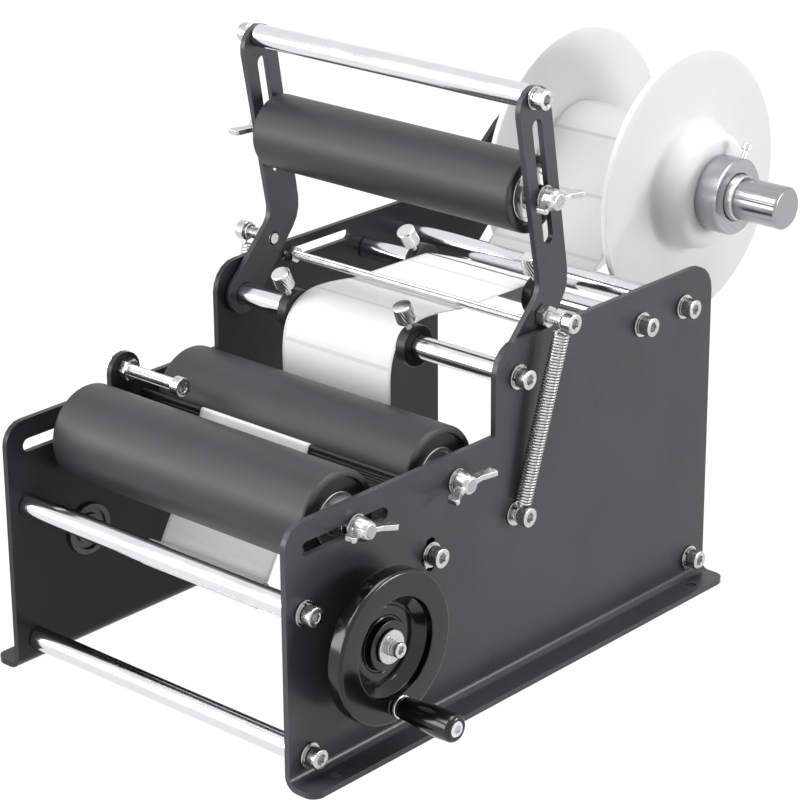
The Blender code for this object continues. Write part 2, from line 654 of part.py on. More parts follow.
def wing_nut_mesh(low):
    """A wing nut around X on its plain and spring washers, with two slanting wings."""
    bore = AXLE_THREAD_R + GAP
    seat = low + STACK_T
    body = turned_mesh([
        (seat + WING_NUT_H, bore),
        (seat + WING_NUT_H, WING_NUT_R * 0.75),
        (seat, WING_NUT_R),
        (low + WASHER_T, SPRING_WASHER_R),
        (low + WASHER_T, WASHER_R),
        (low, WASHER_R),
        (low, bore),
    ], 12, closed=True)
    root = WING_NUT_R * 0.8
    wing = rounded([
        (root, seat + WING_ROOT, 0),
        (WING_REACH, seat + WING_NUT_H * 0.6, WING_T * 0.5),
        (WING_REACH, seat + WING_NUT_H * 1.15, WING_T * 0.5),
        (root, seat + WING_NUT_H * 0.75, 0),
    ], 60)
    swap = Matrix(((0, 1, 0, 0), (1, 0, 0, 0), (0, 0, -1, 0), (0, 0, 0, 1)))
    ahead = flat_mesh([wing], WING_T, 0, swap)
    behind = ahead.copy()
    behind.transform(Matrix.Rotation(math.pi, 4, "X"))
    return combined(body, [ahead, behind], "UNION")


def roller(name, place, radius, rim_radius):
    """A rubber roller on two ball bearings."""
    half = ROLLER_LENGTH / 2
    floor = half - ROLLER_RECESS
    bore = BEARING_R + GAP
    sleeve = turned_mesh([
        (half, rim_radius),
        (half, radius - ROLLER_CHAMFER),
        (half - ROLLER_CHAMFER, radius),
        (-half + ROLLER_CHAMFER, radius),
        (-half, radius - ROLLER_CHAMFER),
        (-half, rim_radius),
        (-floor, rim_radius),
        (-floor, bore),
        (floor, bore),
        (floor, rim_radius),
    ], 28, closed=True)
    sleeve.transform(at(place))
    add_part(name, sleeve, RUBBER, on_axis(place))
    face = floor + BEARING_PROUD
    bearing = ring_mesh(face - BEARING_WIDTH, face, BEARING_R, AXLE_R + GAP)
    for side, mirror in SIDES:
        add_part("%s_%s_bearing" % (name, side), moved(bearing, at(place), mirror), STEEL, on_axis(place))


def axle(name, place, inner_x, seat_x, lean=0.0):
    """A shouldered axle between two plates, with washers and wing nuts outside."""
    shoulder = inner_x - GAP
    end = seat_x + AXLE_END
    mesh = turned_mesh([
        (end, 0),
        (end, AXLE_THREAD_R),
        (shoulder, AXLE_THREAD_R),
        (shoulder, AXLE_R),
        (-shoulder, AXLE_R),
        (-shoulder, AXLE_THREAD_R),
        (-end, AXLE_THREAD_R),
        (-end, 0),
    ], 12)
    mesh.transform(at(place))
    add_part(name + "_axle", mesh, STEEL, on_axis(place))
    nut = wing_nut_mesh(seat_x + GAP)
    turned = at(place) @ Matrix.Rotation(lean, 4, "X")
    for side, mirror in SIDES:
        add_part("%s_%s_wing_nut" % (name, side), moved(nut, turned, mirror), ZINC, on_axis(place))


def rollers():
    roller("front_roller", FRONT_ROLLER, LOWER_ROLLER_R, ROLLER_RIM_R)
    axle("front_roller", FRONT_ROLLER, HALF, OUTER, FRONT_WING_LEAN)
    roller("second_roller", SECOND_ROLLER, LOWER_ROLLER_R, ROLLER_RIM_R)
    axle("second_roller", SECOND_ROLLER, HALF, OUTER, SECOND_WING_LEAN)
    roller("arm_roller", ARM_ROLLER, ARM_ROLLER_R, ARM_ROLLER_RIM_R)
    axle("arm_roller", ARM_ROLLER, ARM_INNER, ARM_OUTER, ARM_WING_LEAN)


def arm_outline():
    """The arm: a lobe round its pivot, a knee to the rear, and a straight part leaning forward."""
    low_front = tangent_angle(GUIDE_ROD_1, ARM_KNEE_FRONT, ARM_LOBE_R, 1)
    low_rear = tangent_angle(GUIDE_ROD_1, ARM_KNEE_REAR, ARM_LOBE_R, -1)
    side = (math.cos(ARM_LEAN) * ARM_HALF_WIDTH, math.sin(ARM_LEAN) * ARM_HALF_WIDTH)
    lean = math.degrees(ARM_LEAN)
    crown = arc(ARM_TOP, ARM_HALF_WIDTH, 180 + lean, lean)
    lobe = arc(GUIDE_ROD_1, ARM_LOBE_R, low_rear, low_front - 360)
    knees = rounded([
        (ARM_TOP[0] - side[0], ARM_TOP[1] - side[1], 0),
        (ARM_TOP[0] + side[0], ARM_TOP[1] + side[1], 0),
        (*ARM_KNEE_REAR, KNEE_REAR_R),
        (*lobe[0], 0),
        (*lobe[-1], 0),
        (*ARM_KNEE_FRONT, KNEE_FRONT_R),
    ])
    rear_knee = knees[2:knees.index(lobe[0])]
    front_knee = knees[knees.index(lobe[-1]) + 1:]
    return crown + rear_knee + lobe + front_knee


def arm_plate(name, side):
    holes = [
        circle(GUIDE_ROD_1, ROD_R + GAP, 20),
        circle(HANDLE, SCREW_HOLE_R, 12),
        circle(SPRING_BOLT, SCREW_HOLE_R, 12),
    ]
    ends = [(ARM_TOP[0] + ARM_DOWN[0] * along, ARM_TOP[1] + ARM_DOWN[1] * along)
            for along in (ARM_SLOT_START, ARM_SLOT_END)]
    holes.append(slot(ends[0], ends[1], SLOT_WIDTH))
    mesh = flat_mesh([arm_outline()] + holes, ARM_T, side * (ARM_INNER + ARM_OUTER) / 2)
    add_part(name, mesh, POWDER_COAT, on_axis(GUIDE_ROD_1))


def arm():
    pivot = on_axis(GUIDE_ROD_1)
    arm_plate("left_arm", -1)
    arm_plate("right_arm", 1)
    tube = rod_mesh(GAP - ARM_INNER, ARM_INNER - GAP, HANDLE_R, 16)
    tube.transform(at(HANDLE))
    add_part("handle_tube", tube, CHROME, pivot)


def spring_route(low, high):
    """The wire of an extension spring: a hook round each bolt and a close coil between them."""
    low, high = Vector(low), Vector(high)
    axis = (high - low).normalized()
    side = Vector((1, 0, 0))
    side = (side - axis * side.dot(axis)).normalized()
    across = axis.cross(side)
    start = low + axis * SPRING_HOOK_ROOM
    length = (high - low).length - 2 * SPRING_HOOK_ROOM
    turns = round(length / SPRING_PITCH)
    points = []
    for along, swing in reversed(arc((0, 0), SPRING_HOOK_R, -150, 150, 33)):
        points.append(low - axis * along + across * swing)
    for index in range(turns * 6 + 1):
        angle = math.radians(60 * index) - math.pi / 2
        around = side * SPRING_R * math.cos(angle) + across * SPRING_R * math.sin(angle)
        points.append(start + axis * length * index / (turns * 6) + around)
    for along, swing in arc((0, 0), SPRING_HOOK_R, -150, 150, 33):
        points.append(high + axis * along + across * swing)
    return points


def wire_mesh(points, radius):
    curve = bpy.data.curves.new("wire", "CURVE")
    curve.dimensions = "3D"
    curve.bevel_depth = radius
    curve.bevel_resolution = 0
    curve.use_fill_caps = True
    spline = curve.splines.new("POLY")
    spline.points.add(len(points) - 1)
    for point, place in zip(spline.points, points):
        point.co = (*place, 1)
    return evaluated_mesh(bpy.data.objects.new("wire", curve))


def springs():
    pivot = on_axis(GUIDE_ROD_1)
    bolt_head = ARM_OUTER + SPRING_BOLT_STANDOFF
    bolt = socket_screw(bolt_head, bolt_head - ARM_INNER + THREAD_SPARE / 2)
    bolt = combined(bolt, [nut_mesh(ARM_OUTER + GAP, NUT_H, NUT_FLATS)], "UNION")
    anchor_head = OUTER + SPRING_ANCHOR_STANDOFF
    anchor = socket_screw(anchor_head, anchor_head - HALF + NUT_H + THREAD_SPARE)
    anchor_nut = nut_mesh(HALF - GAP - NUT_H, NUT_H, NUT_FLATS)
    anchor_washer = rod_mesh(OUTER + GAP, OUTER + GAP + WASHER_T, WASHER_R)
    anchor = combined(anchor, [anchor_nut, anchor_washer], "UNION")
    for side, mirror in SIDES:
        add_part(side + "_spring_bolt", moved(bolt, at(SPRING_BOLT), mirror), ZINC, pivot)
        add_part(side + "_spring_anchor", moved(anchor, at(SPRING_ANCHOR), mirror), ZINC)
    wire = 2 * SPRING_WIRE_R
    low_x = anchor_head - GAP - wire * 0.75
    high_x = bolt_head - GAP - wire * 1.2
    for name, side in (("left_spring", -1), ("right_spring", 1)):
        route = spring_route((side * low_x, *SPRING_ANCHOR), (side * high_x, *SPRING_BOLT))
        add_part(name, wire_mesh(route, SPRING_WIRE_R), ZINC, pivot)


def stops():
    """The threaded stop rod in the left plate's slot, and the bottle stop on the plate's ear."""
    left_end = OUTER + SMALL_NUT_H + STOP_ROD_SPARE
    rod = rod_mesh(-STOP_ROD_RIGHT, left_end, STOP_ROD_R, 12, STOP_ROD_CHAMFER)
    nuts = [nut_mesh(low, SMALL_NUT_H, SMALL_NUT_FLATS) for low in (OUTER + GAP, HALF - GAP - SMALL_NUT_H)]
    rod = combined(rod, nuts, "UNION")
    add_part("stop_rod", moved(rod, at(STOP_ROD), True), ZINC, on_axis(STOP_ROD))
    tip = OUTER + NUT_H + THREAD_SPARE
    seat = HALF - BOTTLE_STOP_REACH
    shank = turned_mesh([
        (tip, 0),
        (tip, SCREW_R),
        (seat, SCREW_R),
        (seat, SCREW_HEAD_R),
        (seat - SCREW_HEAD_H, SCREW_HEAD_R),
        (seat - SCREW_HEAD_H, 0),
    ], 12)
    add_part("bottle_stop", moved(shank, at(BOTTLE_STOP), True), ZINC, on_axis(BOTTLE_STOP))


def peel_outline():
    """Section of the peel plate: a ribbed upright blade with a round nose, on a thick base."""
    blade_rear = PEEL_FRONT_Y + PEEL_BLADE_T
    nose = PEEL_BLADE_T / 2 * 0.98
    points = rounded([
        (PEEL_FRONT_Y, PEEL_BASE_BOTTOM, PEEL_FRONT_EDGE_R),
        (PEEL_BASE_REAR_Y, PEEL_BASE_BOTTOM, PEEL_BASE_EDGE_R),
        (PEEL_BASE_REAR_Y, PEEL_BASE_TOP, PEEL_BASE_EDGE_R),
        (blade_rear, PEEL_BASE_TOP, 0),
        (blade_rear, PEEL_TOP, nose),
        (PEEL_FRONT_Y, PEEL_TOP, nose),
    ])
    top_rib = PEEL_TOP - PEEL_BLADE_T
    for rib in range(PEEL_RIB_COUNT):
        high = top_rib - rib * PEEL_RIB_PITCH
        for drop, depth in ((0, 0), (0.25, 1), (0.5, 0)):
            points.append((PEEL_FRONT_Y + depth * PEEL_RIB_DEPTH, high - drop * PEEL_RIB_PITCH))
    return points


def peel_plate():
    half = HALF - GAP
    bar = flat_mesh([peel_outline()], 2 * half)
    bore = rod_mesh(half - SCREW_DEPTH, half + CUT_SPARE, SCREW_R + GAP)
    bores = [moved(bore, at(PEEL_SCREW), mirror) for _, mirror in SIDES]
    add_part("peel_plate", combined(bar, bores, "DIFFERENCE"), BLACK_STEEL)


def guide_collar(name, rod, inner_x, side, lean):
    """A ring that slides along a guide rod, and the knurled screw that clamps it."""
    middle = inner_x + side * COLLAR_WIDTH / 2
    half = COLLAR_WIDTH / 2
    ring = ring_mesh(-half, half, COLLAR_R, ROD_R + GAP, 20, COLLAR_CHAMFER)
    upright = Matrix.Rotation(lean, 4, "X") @ Matrix.Rotation(-math.pi / 2, 4, "Y")
    hole = rod_mesh(ROD_R * 0.8, COLLAR_R + CUT_SPARE, THUMB_STEM_R + GAP, 8)
    hole.transform(upright)
    body = combined(ring, [hole], "DIFFERENCE")
    body.transform(at(rod, middle))
    pivot = on_axis(rod, middle)
    add_part(name, body, BLACK_STEEL, pivot)
    shoulder = COLLAR_R + THUMB_STEM
    screw = turned_mesh([
        (shoulder + THUMB_HEAD_H, 0),
        (shoulder + THUMB_HEAD_H, THUMB_HEAD_R - THUMB_CHAMFER),
        (shoulder + THUMB_HEAD_H - THUMB_CHAMFER, THUMB_HEAD_R),
        (shoulder, THUMB_HEAD_R),
        (shoulder, THUMB_STEM_R),
        (ROD_R + GAP, THUMB_STEM_R),
        (ROD_R + GAP, 0),
    ], 12)
    screw.transform(at(rod, middle) @ upright)
    add_part(name + "_screw", screw, ZINC, pivot)


def guide_collars():
    edge = WEB_WIDTH / 2 + GAP
    for number, rod in ((1, GUIDE_ROD_1), (2, GUIDE_ROD_2)):
        guide_collar("guide_collar_%d_left" % number, rod, WEB_X - edge, -1, THUMB_LEAN_LEFT)
        guide_collar("guide_collar_%d_right" % number, rod, WEB_X + edge, 1, THUMB_LEAN_RIGHT)


def crossing_tangent(first, first_r, second, second_r, side):
    """Angles on two circles of the line that passes between them, the first on its left for side +1."""
    away = Vector(second) - Vector(first)
    heading = math.degrees(math.atan2(away.y, away.x))
    offset = math.degrees(math.acos((first_r + second_r) / away.length))
    return heading - side * offset, heading - side * offset + 180


def bezier(start, start_pull, end_pull, end, count):
    points = []
    for index in range(1, count):
        t = index / count
        s = 1 - t
        points.append(tuple(s ** 3 * a + 3 * s * s * t * b + 3 * s * t * t * c + t ** 3 * d
                            for a, b, c, d in zip(start, start_pull, end_pull, end)))
    return points


def point_between(first, second, y):
    """The point at a given y on the line through two points."""
    share = (y - first[0]) / (second[0] - first[0])
    return y, first[1] + share * (second[1] - first[1])


def web_route():
    """Middle line of the web from the roll to the drive shaft, as (y, z) points."""
    play = GAP + WEB_T / 2
    over_rod = ROD_R + play
    roll = ROLL_R + play
    off_roll, on_rod_3 = crossing_tangent(SPINDLE, roll, GUIDE_ROD_3, over_rod, 1)
    off_rod_3, on_rod_2 = crossing_tangent(GUIDE_ROD_3, over_rod, GUIDE_ROD_2, over_rod, -1)
    points = arc(SPINDLE, roll, off_roll - 50, off_roll, WRAP_STEP)
    under_rod_3 = arc(GUIDE_ROD_3, over_rod, on_rod_3, off_rod_3 - (360 if off_rod_3 > on_rod_3 else 0))
    onto_rod_2 = arc(GUIDE_ROD_2, over_rod, on_rod_2, 90)
    points.append(point_between(points[-1], under_rod_3[0], DRIFT_END_Y))
    points += under_rod_3
    points.append(point_between(under_rod_3[-1], onto_rod_2[0], DRIFT_START_Y))
    points += onto_rod_2
    points += arc(GUIDE_ROD_1, over_rod, 90, 180)
    down = points[-1]
    behind_roller = LOWER_ROLLER_R + play
    blade_rear = PEEL_FRONT_Y + PEEL_BLADE_T + play
    corner = (PEEL_BASE_REAR_Y + play, PEEL_BASE_TOP)
    wrap_start = tangent_angle(SECOND_ROLLER, corner, behind_roller, -1) % 360
    wrap_end = 180
    if SECOND_ROLLER_Y - blade_rear < behind_roller:
        wrap_end += math.degrees(math.acos((SECOND_ROLLER_Y - blade_rear) / behind_roller))
    low_corner = (PEEL_BASE_REAR_Y + play, PEEL_BASE_BOTTOM + PEEL_BASE_EDGE_R)
    slack_y = GUIDE_ROD_1_Y - SLACK_AHEAD
    fall = (slack_y, down[1] - SLACK_FALL)
    rise = (slack_y, PEEL_BASE_BOTTOM - SLACK_DROP)
    points += bezier(down, fall, rise, low_corner, 10)
    points += [low_corner, corner]
    points += arc(SECOND_ROLLER, behind_roller, wrap_start, wrap_end, WRAP_STEP)
    nose = (PEEL_FRONT_Y + PEEL_BLADE_T / 2, PEEL_TOP - PEEL_BLADE_T / 2)
    nose_r = PEEL_BLADE_T / 2 + play
    spool = DRIVE_R + play
    away = Vector(DRIVE) - Vector(nose)
    heading = math.degrees(math.atan2(away.y, away.x))
    outer = math.degrees(math.acos((nose_r + spool) / away.length))
    leave = heading - outer
    points += arc(nose, nose_r, 0, leave % 360, 30)
    points += arc(DRIVE, spool, leave + 180, leave + 180 + 60)
    return points


def label_web():
    """The web as an open strip made solid, drifting sideways behind guide rod 2 to run between the discs."""
    verts = []
    faces = []
    for y, z in web_route():
        share = max(0.0, min(1.0, (y - DRIFT_START_Y) / (DRIFT_END_Y - DRIFT_START_Y)))
        middle = WEB_X + (ROLL_X - WEB_X) * share
        verts.append((middle - WEB_WIDTH / 2, y, z))
        verts.append((middle + WEB_WIDTH / 2, y, z))
    for index in range(0, len(verts) - 2, 2):
        faces.append((index, index + 1, index + 3, index + 2))
    mesh = bpy.data.meshes.new("strip")
    mesh.from_pydata(verts, [], faces)
    source = bpy.data.objects.new("strip", mesh)
    solid = source.modifiers.new("thickness", "SOLIDIFY")
    solid.thickness = WEB_T
    solid.offset = 0
    solid.use_even_offset = True
    add_part("label_web", evaluated_mesh(source), PAPER)


def drive():
    pivot = on_axis(DRIVE)
    left_end = -(OUTER + DRIVE_LEFT_SPARE)
    bore = WHEEL_SCREW_R + GAP
    shaft = turned_mesh([
        (WHEEL_SEAT_X - DRIVE_BORE_DEPTH, 0),
        (WHEEL_SEAT_X - DRIVE_BORE_DEPTH, bore),
        (WHEEL_SEAT_X, bore),
        (WHEEL_SEAT_X, WHEEL_SEAT_R),
        (WHEEL_HUB_BACK_X - GAP, WHEEL_SEAT_R),
        (WHEEL_HUB_BACK_X - GAP, DRIVE_R),
        (left_end, DRIVE_R),
        (left_end, bore),
        (left_end + DRIVE_BORE_DEPTH, bore),
        (left_end + DRIVE_BORE_DEPTH, 0),
    ], 16)
    shaft.transform(at(DRIVE))
    add_part("drive_shaft", shaft, STEEL, pivot)
    bearing = turned_mesh([
        (OUTER, DRIVE_R + GAP),
        (OUTER, DRIVE_BEARING_R),
        (HALF - GAP, DRIVE_BEARING_R),
        (HALF - GAP, DRIVE_FLANGE_R),
        (HALF - GAP - DRIVE_FLANGE_T, DRIVE_FLANGE_R),
        (HALF - GAP - DRIVE_FLANGE_T, DRIVE_R + GAP),
    ], 20, closed=True)
    for side, mirror in SIDES:
        add_part(side + "_drive_bearing", moved(bearing, at(DRIVE), mirror), STEEL)
    handwheel(pivot)


def handwheel(pivot):
    """A dished handwheel: deep rim, steep wall and cone down to a flat web, and a raised hub."""
    web = WHEEL_FACE_X - WHEEL_WEB_DEPTH
    bore = WHEEL_SEAT_R + GAP
    mesh = turned_mesh([
        (WHEEL_SEAT_X, bore),
        (WHEEL_SEAT_X, WHEEL_HUB_R),
        (web, WHEEL_HUB_R),
        (web, WHEEL_WEB_R),
        (web - WHEEL_GROOVE, WHEEL_WEB_R),
        (web - WHEEL_GROOVE, (WHEEL_WEB_R + WHEEL_CONE_R) / 2),
        (WHEEL_FACE_X - WHEEL_CONE_DEPTH, WHEEL_CONE_R),
        (WHEEL_FACE_X - WHEEL_RECESS_WALL, WHEEL_RECESS_R),
        (WHEEL_FACE_X, WHEEL_RECESS_R),
        (WHEEL_FACE_X, WHEEL_R - WHEEL_EDGE_R),
        (WHEEL_FACE_X - WHEEL_EDGE_R, WHEEL_R),
        (WHEEL_BACK_X + WHEEL_EDGE_R, WHEEL_R),
        (WHEEL_BACK_X, WHEEL_R - WHEEL_EDGE_R),
        (WHEEL_BACK_X, WHEEL_HUB_BACK_R + WHEEL_HUB_SLOPE),
        (WHEEL_HUB_BACK_X, WHEEL_HUB_BACK_R),
        (WHEEL_HUB_BACK_X, bore),
    ], 32, closed=True)
    mesh.transform(at(DRIVE))
    hole = rod_mesh(WHEEL_BACK_X - CUT_SPARE, WHEEL_FACE_X + CUT_SPARE, GRIP_STUD_R + GAP, 12)
    hole.transform(at(GRIP))
    add_part("handwheel", combined(mesh, [hole], "DIFFERENCE"), BLACK_PLASTIC, pivot)


def grip():
    """The revolving grip on its stud: a barrel swelling towards its end."""
    start = GRIP_START_X + GRIP_RING_T + GAP
    end = GRIP_START_X + GRIP_LENGTH
    taper = end - GRIP_BELLY_INSET - start
    under_head = end - STUD_HEAD_T
    stud = turned_mesh([
        (end + GAP, 0),
        (end + GAP, STUD_HEAD_R - STUD_CHAMFER),
        (end + GAP - STUD_CHAMFER, STUD_HEAD_R),
        (under_head, STUD_HEAD_R),
        (under_head, GRIP_STUD_R),
        (start - GAP, GRIP_STUD_R),
        (start - GAP, GRIP_RING_R),
        (GRIP_START_X, GRIP_RING_R),
        (GRIP_START_X, GRIP_STUD_R),
        (WHEEL_BACK_X, GRIP_STUD_R),
        (WHEEL_BACK_X, 0),
    ], 12)
    stud.transform(at(GRIP))
    add_part("grip_stud", stud, CHROME, on_axis(DRIVE))
    bore = GRIP_STUD_R + GAP
    pocket = STUD_HEAD_R + GAP
    barrel = [
        (under_head - GAP, bore),
        (under_head - GAP, pocket),
        (end, pocket),
        (end, (pocket + GRIP_BELLY_R - GRIP_END_R) / 2),
        (end - GRIP_END_R, GRIP_BELLY_R - GRIP_END_R),
        (end - GRIP_BELLY_INSET / 2, GRIP_BELLY_R),
    ]
    for step in range(6):
        share = 1 - step / 5
        swell = math.sin(share * math.pi / 2) ** 1.5
        barrel.append((start + taper * share, GRIP_BASE_R + (GRIP_BELLY_R - GRIP_BASE_R) * swell))
    barrel.append((start, bore))
    mesh = turned_mesh(barrel, 16, closed=True)
    mesh.transform(at(GRIP))
    add_part("grip", mesh, BLACK_PLASTIC, on_axis(GRIP))


def disc_mesh(inner_x, side):
    """A roll disc: a thin wheel with a hub into the roll's core and a smooth boss on its outside."""
    def out(distance):
        return inner_x + side * distance
    boss_top = DISC_T + DISC_BOSS_H
    bore = SPINDLE_R + GAP
    profile = [(out(boss_top), bore), (out(boss_top), SET_COLLAR_R)]
    for angle in (80, 30):
        turn = math.radians(angle)
        height = boss_top - DISC_BOSS_CORNER * (1 - math.sin(turn))
        profile.append((out(height), DISC_BOSS_R - DISC_BOSS_INSET + DISC_BOSS_FLARE * math.cos(turn)))
    for angle in (0, 40, 85):
        turn = math.radians(angle)
        height = DISC_T + DISC_BOSS_CORNER * (1 - math.sin(turn))
        profile.append((out(height), DISC_BOSS_R + DISC_ROOT_FLARE - DISC_BOSS_FLARE * math.cos(turn)))
    profile += [
        (out(DISC_T), DISC_R),
        (out(0), DISC_R),
        (out(0), CORE_BORE_R - GAP),
        (out(-DISC_HUB_H), CORE_BORE_R - GAP),
        (out(-DISC_HUB_H), bore),
    ]
    if side < 0:
        profile.reverse()
    return turned_mesh(profile, 32, closed=True)


def set_collar(name, disc_x, pivot, mirror):
    """A set collar that holds a disc along the spindle, its stepped face turned away from the disc."""
    face = disc_x + SET_COLLAR_WIDTH
    bore = SPINDLE_R + GAP
    ring = turned_mesh([
        (face - SET_COLLAR_STEP, bore),
        (face - SET_COLLAR_STEP, SET_COLLAR_STEP_R),
        (face, SET_COLLAR_STEP_R),
        (face, SET_COLLAR_R - SET_COLLAR_CHAMFER),
        (face - SET_COLLAR_CHAMFER, SET_COLLAR_R),
        (disc_x + SET_COLLAR_CHAMFER, SET_COLLAR_R),
        (disc_x, SET_COLLAR_R - SET_COLLAR_CHAMFER),
        (disc_x, bore),
    ], 24, closed=True)
    add_part(name, moved(ring, at(SPINDLE), mirror), STEEL, pivot)


def spindle():
    pivot = on_axis(SPINDLE)
    housing = ring_mesh(-HALF + GAP, -HOUSING_FACE, SPINDLE_HOUSING_R, SPINDLE_STUB_R + GAP, 24)
    housing.transform(at(SPINDLE))
    add_part("spindle_bearing", housing, STEEL)
    bore = SCREW_R + GAP
    stub_end = -(OUTER + SPINDLE_STUB_SPARE)
    shoulder = -HOUSING_FACE + GAP
    shaft = turned_mesh([
        (SPINDLE_END_X, 0),
        (SPINDLE_END_X, SPINDLE_R - SPINDLE_CHAMFER),
        (SPINDLE_END_X - SPINDLE_CHAMFER, SPINDLE_R),
        (shoulder, SPINDLE_R),
        (shoulder, SPINDLE_STUB_R),
        (stub_end, SPINDLE_STUB_R),
        (stub_end, bore),
        (stub_end + SCREW_DEPTH, bore),
        (stub_end + SCREW_DEPTH, 0),
    ], 24)
    shaft.transform(at(SPINDLE))
    add_part("spindle_shaft", shaft, CHROME, pivot)
    far = disc_mesh(FAR_DISC_X, -1)
    far.transform(at(SPINDLE))
    add_part("far_disc", far, DISC_PLASTIC, pivot)
    near = disc_mesh(NEAR_DISC_X, 1)
    near.transform(at(SPINDLE))
    add_part("near_disc", near, DISC_PLASTIC, pivot)
    set_collar("far_collar", COLLAR_SEAT - FAR_DISC_X, pivot, True)
    set_collar("near_collar", NEAR_DISC_X + COLLAR_SEAT, pivot, False)
    half = WEB_WIDTH / 2
    roll = ring_mesh(ROLL_X - half, ROLL_X + half, ROLL_R, CORE_BORE_R, 32)
    roll.transform(at(SPINDLE))
    add_part("label_roll", roll, PAPER, pivot)


frame()
rollers()
arm()
springs()
stops()
peel_plate()
guide_collars()
label_web()
drive()
grip()
spindle()
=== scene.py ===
"""Looks of the hand-cranked bottle labelling machine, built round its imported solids.

Lengths in the helpers are millimetres. x runs across the machine from the middle of its guide rods, y from
the front edge of the side plates, and z up from the feet.
"""
import math

import bmesh
import bpy
from mathutils import Matrix, Vector

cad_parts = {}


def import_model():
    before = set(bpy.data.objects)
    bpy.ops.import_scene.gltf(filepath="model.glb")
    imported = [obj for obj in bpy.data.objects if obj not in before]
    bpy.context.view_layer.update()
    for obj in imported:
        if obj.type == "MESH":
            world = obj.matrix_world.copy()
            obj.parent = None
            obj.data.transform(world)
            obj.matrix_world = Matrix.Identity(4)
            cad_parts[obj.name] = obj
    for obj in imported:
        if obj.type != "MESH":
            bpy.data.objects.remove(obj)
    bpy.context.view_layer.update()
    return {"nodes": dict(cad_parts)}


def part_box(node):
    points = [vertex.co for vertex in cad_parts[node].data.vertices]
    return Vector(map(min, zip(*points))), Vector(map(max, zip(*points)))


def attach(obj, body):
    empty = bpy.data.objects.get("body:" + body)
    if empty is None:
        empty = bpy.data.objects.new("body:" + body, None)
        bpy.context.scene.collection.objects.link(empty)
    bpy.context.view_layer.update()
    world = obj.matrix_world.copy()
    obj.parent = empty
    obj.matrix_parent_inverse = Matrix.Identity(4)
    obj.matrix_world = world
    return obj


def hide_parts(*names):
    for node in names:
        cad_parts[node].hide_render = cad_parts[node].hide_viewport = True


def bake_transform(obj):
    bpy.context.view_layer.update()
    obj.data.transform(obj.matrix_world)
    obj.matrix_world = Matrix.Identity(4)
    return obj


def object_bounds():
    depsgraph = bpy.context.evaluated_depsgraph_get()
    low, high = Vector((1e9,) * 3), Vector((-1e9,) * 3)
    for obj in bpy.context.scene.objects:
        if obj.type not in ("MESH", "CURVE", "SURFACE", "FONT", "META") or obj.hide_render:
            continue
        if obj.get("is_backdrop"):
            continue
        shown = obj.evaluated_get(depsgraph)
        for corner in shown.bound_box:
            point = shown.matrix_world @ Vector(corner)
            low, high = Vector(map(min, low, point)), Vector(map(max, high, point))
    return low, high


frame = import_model()
NODES = frame["nodes"]
MM = 0.001


def middle(node):
    low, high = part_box(node)
    return (low + high) / 2


MID_X = middle("guide_rod_1").x
FRONT_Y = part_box("left_side_plate")[0].y


def spot(y, z, x=0.0):
    """A point of the machine, given in millimetres."""
    return Vector((MID_X + x * MM, FRONT_Y + y * MM, z * MM))


def axis_of(node):
    """The (y, z) in millimetres of the middle of a node."""
    place = middle(node)
    return (place.y - FRONT_Y) / MM, place.z / MM


def span_of(node):
    """The lowest and highest x in millimetres of a node."""
    low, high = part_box(node)
    return (low.x - MID_X) / MM, (high.x - MID_X) / MM


def radius_of(node):
    low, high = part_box(node)
    return max(high.y - low.y, high.z - low.z) / 2 / MM


# ---- materials


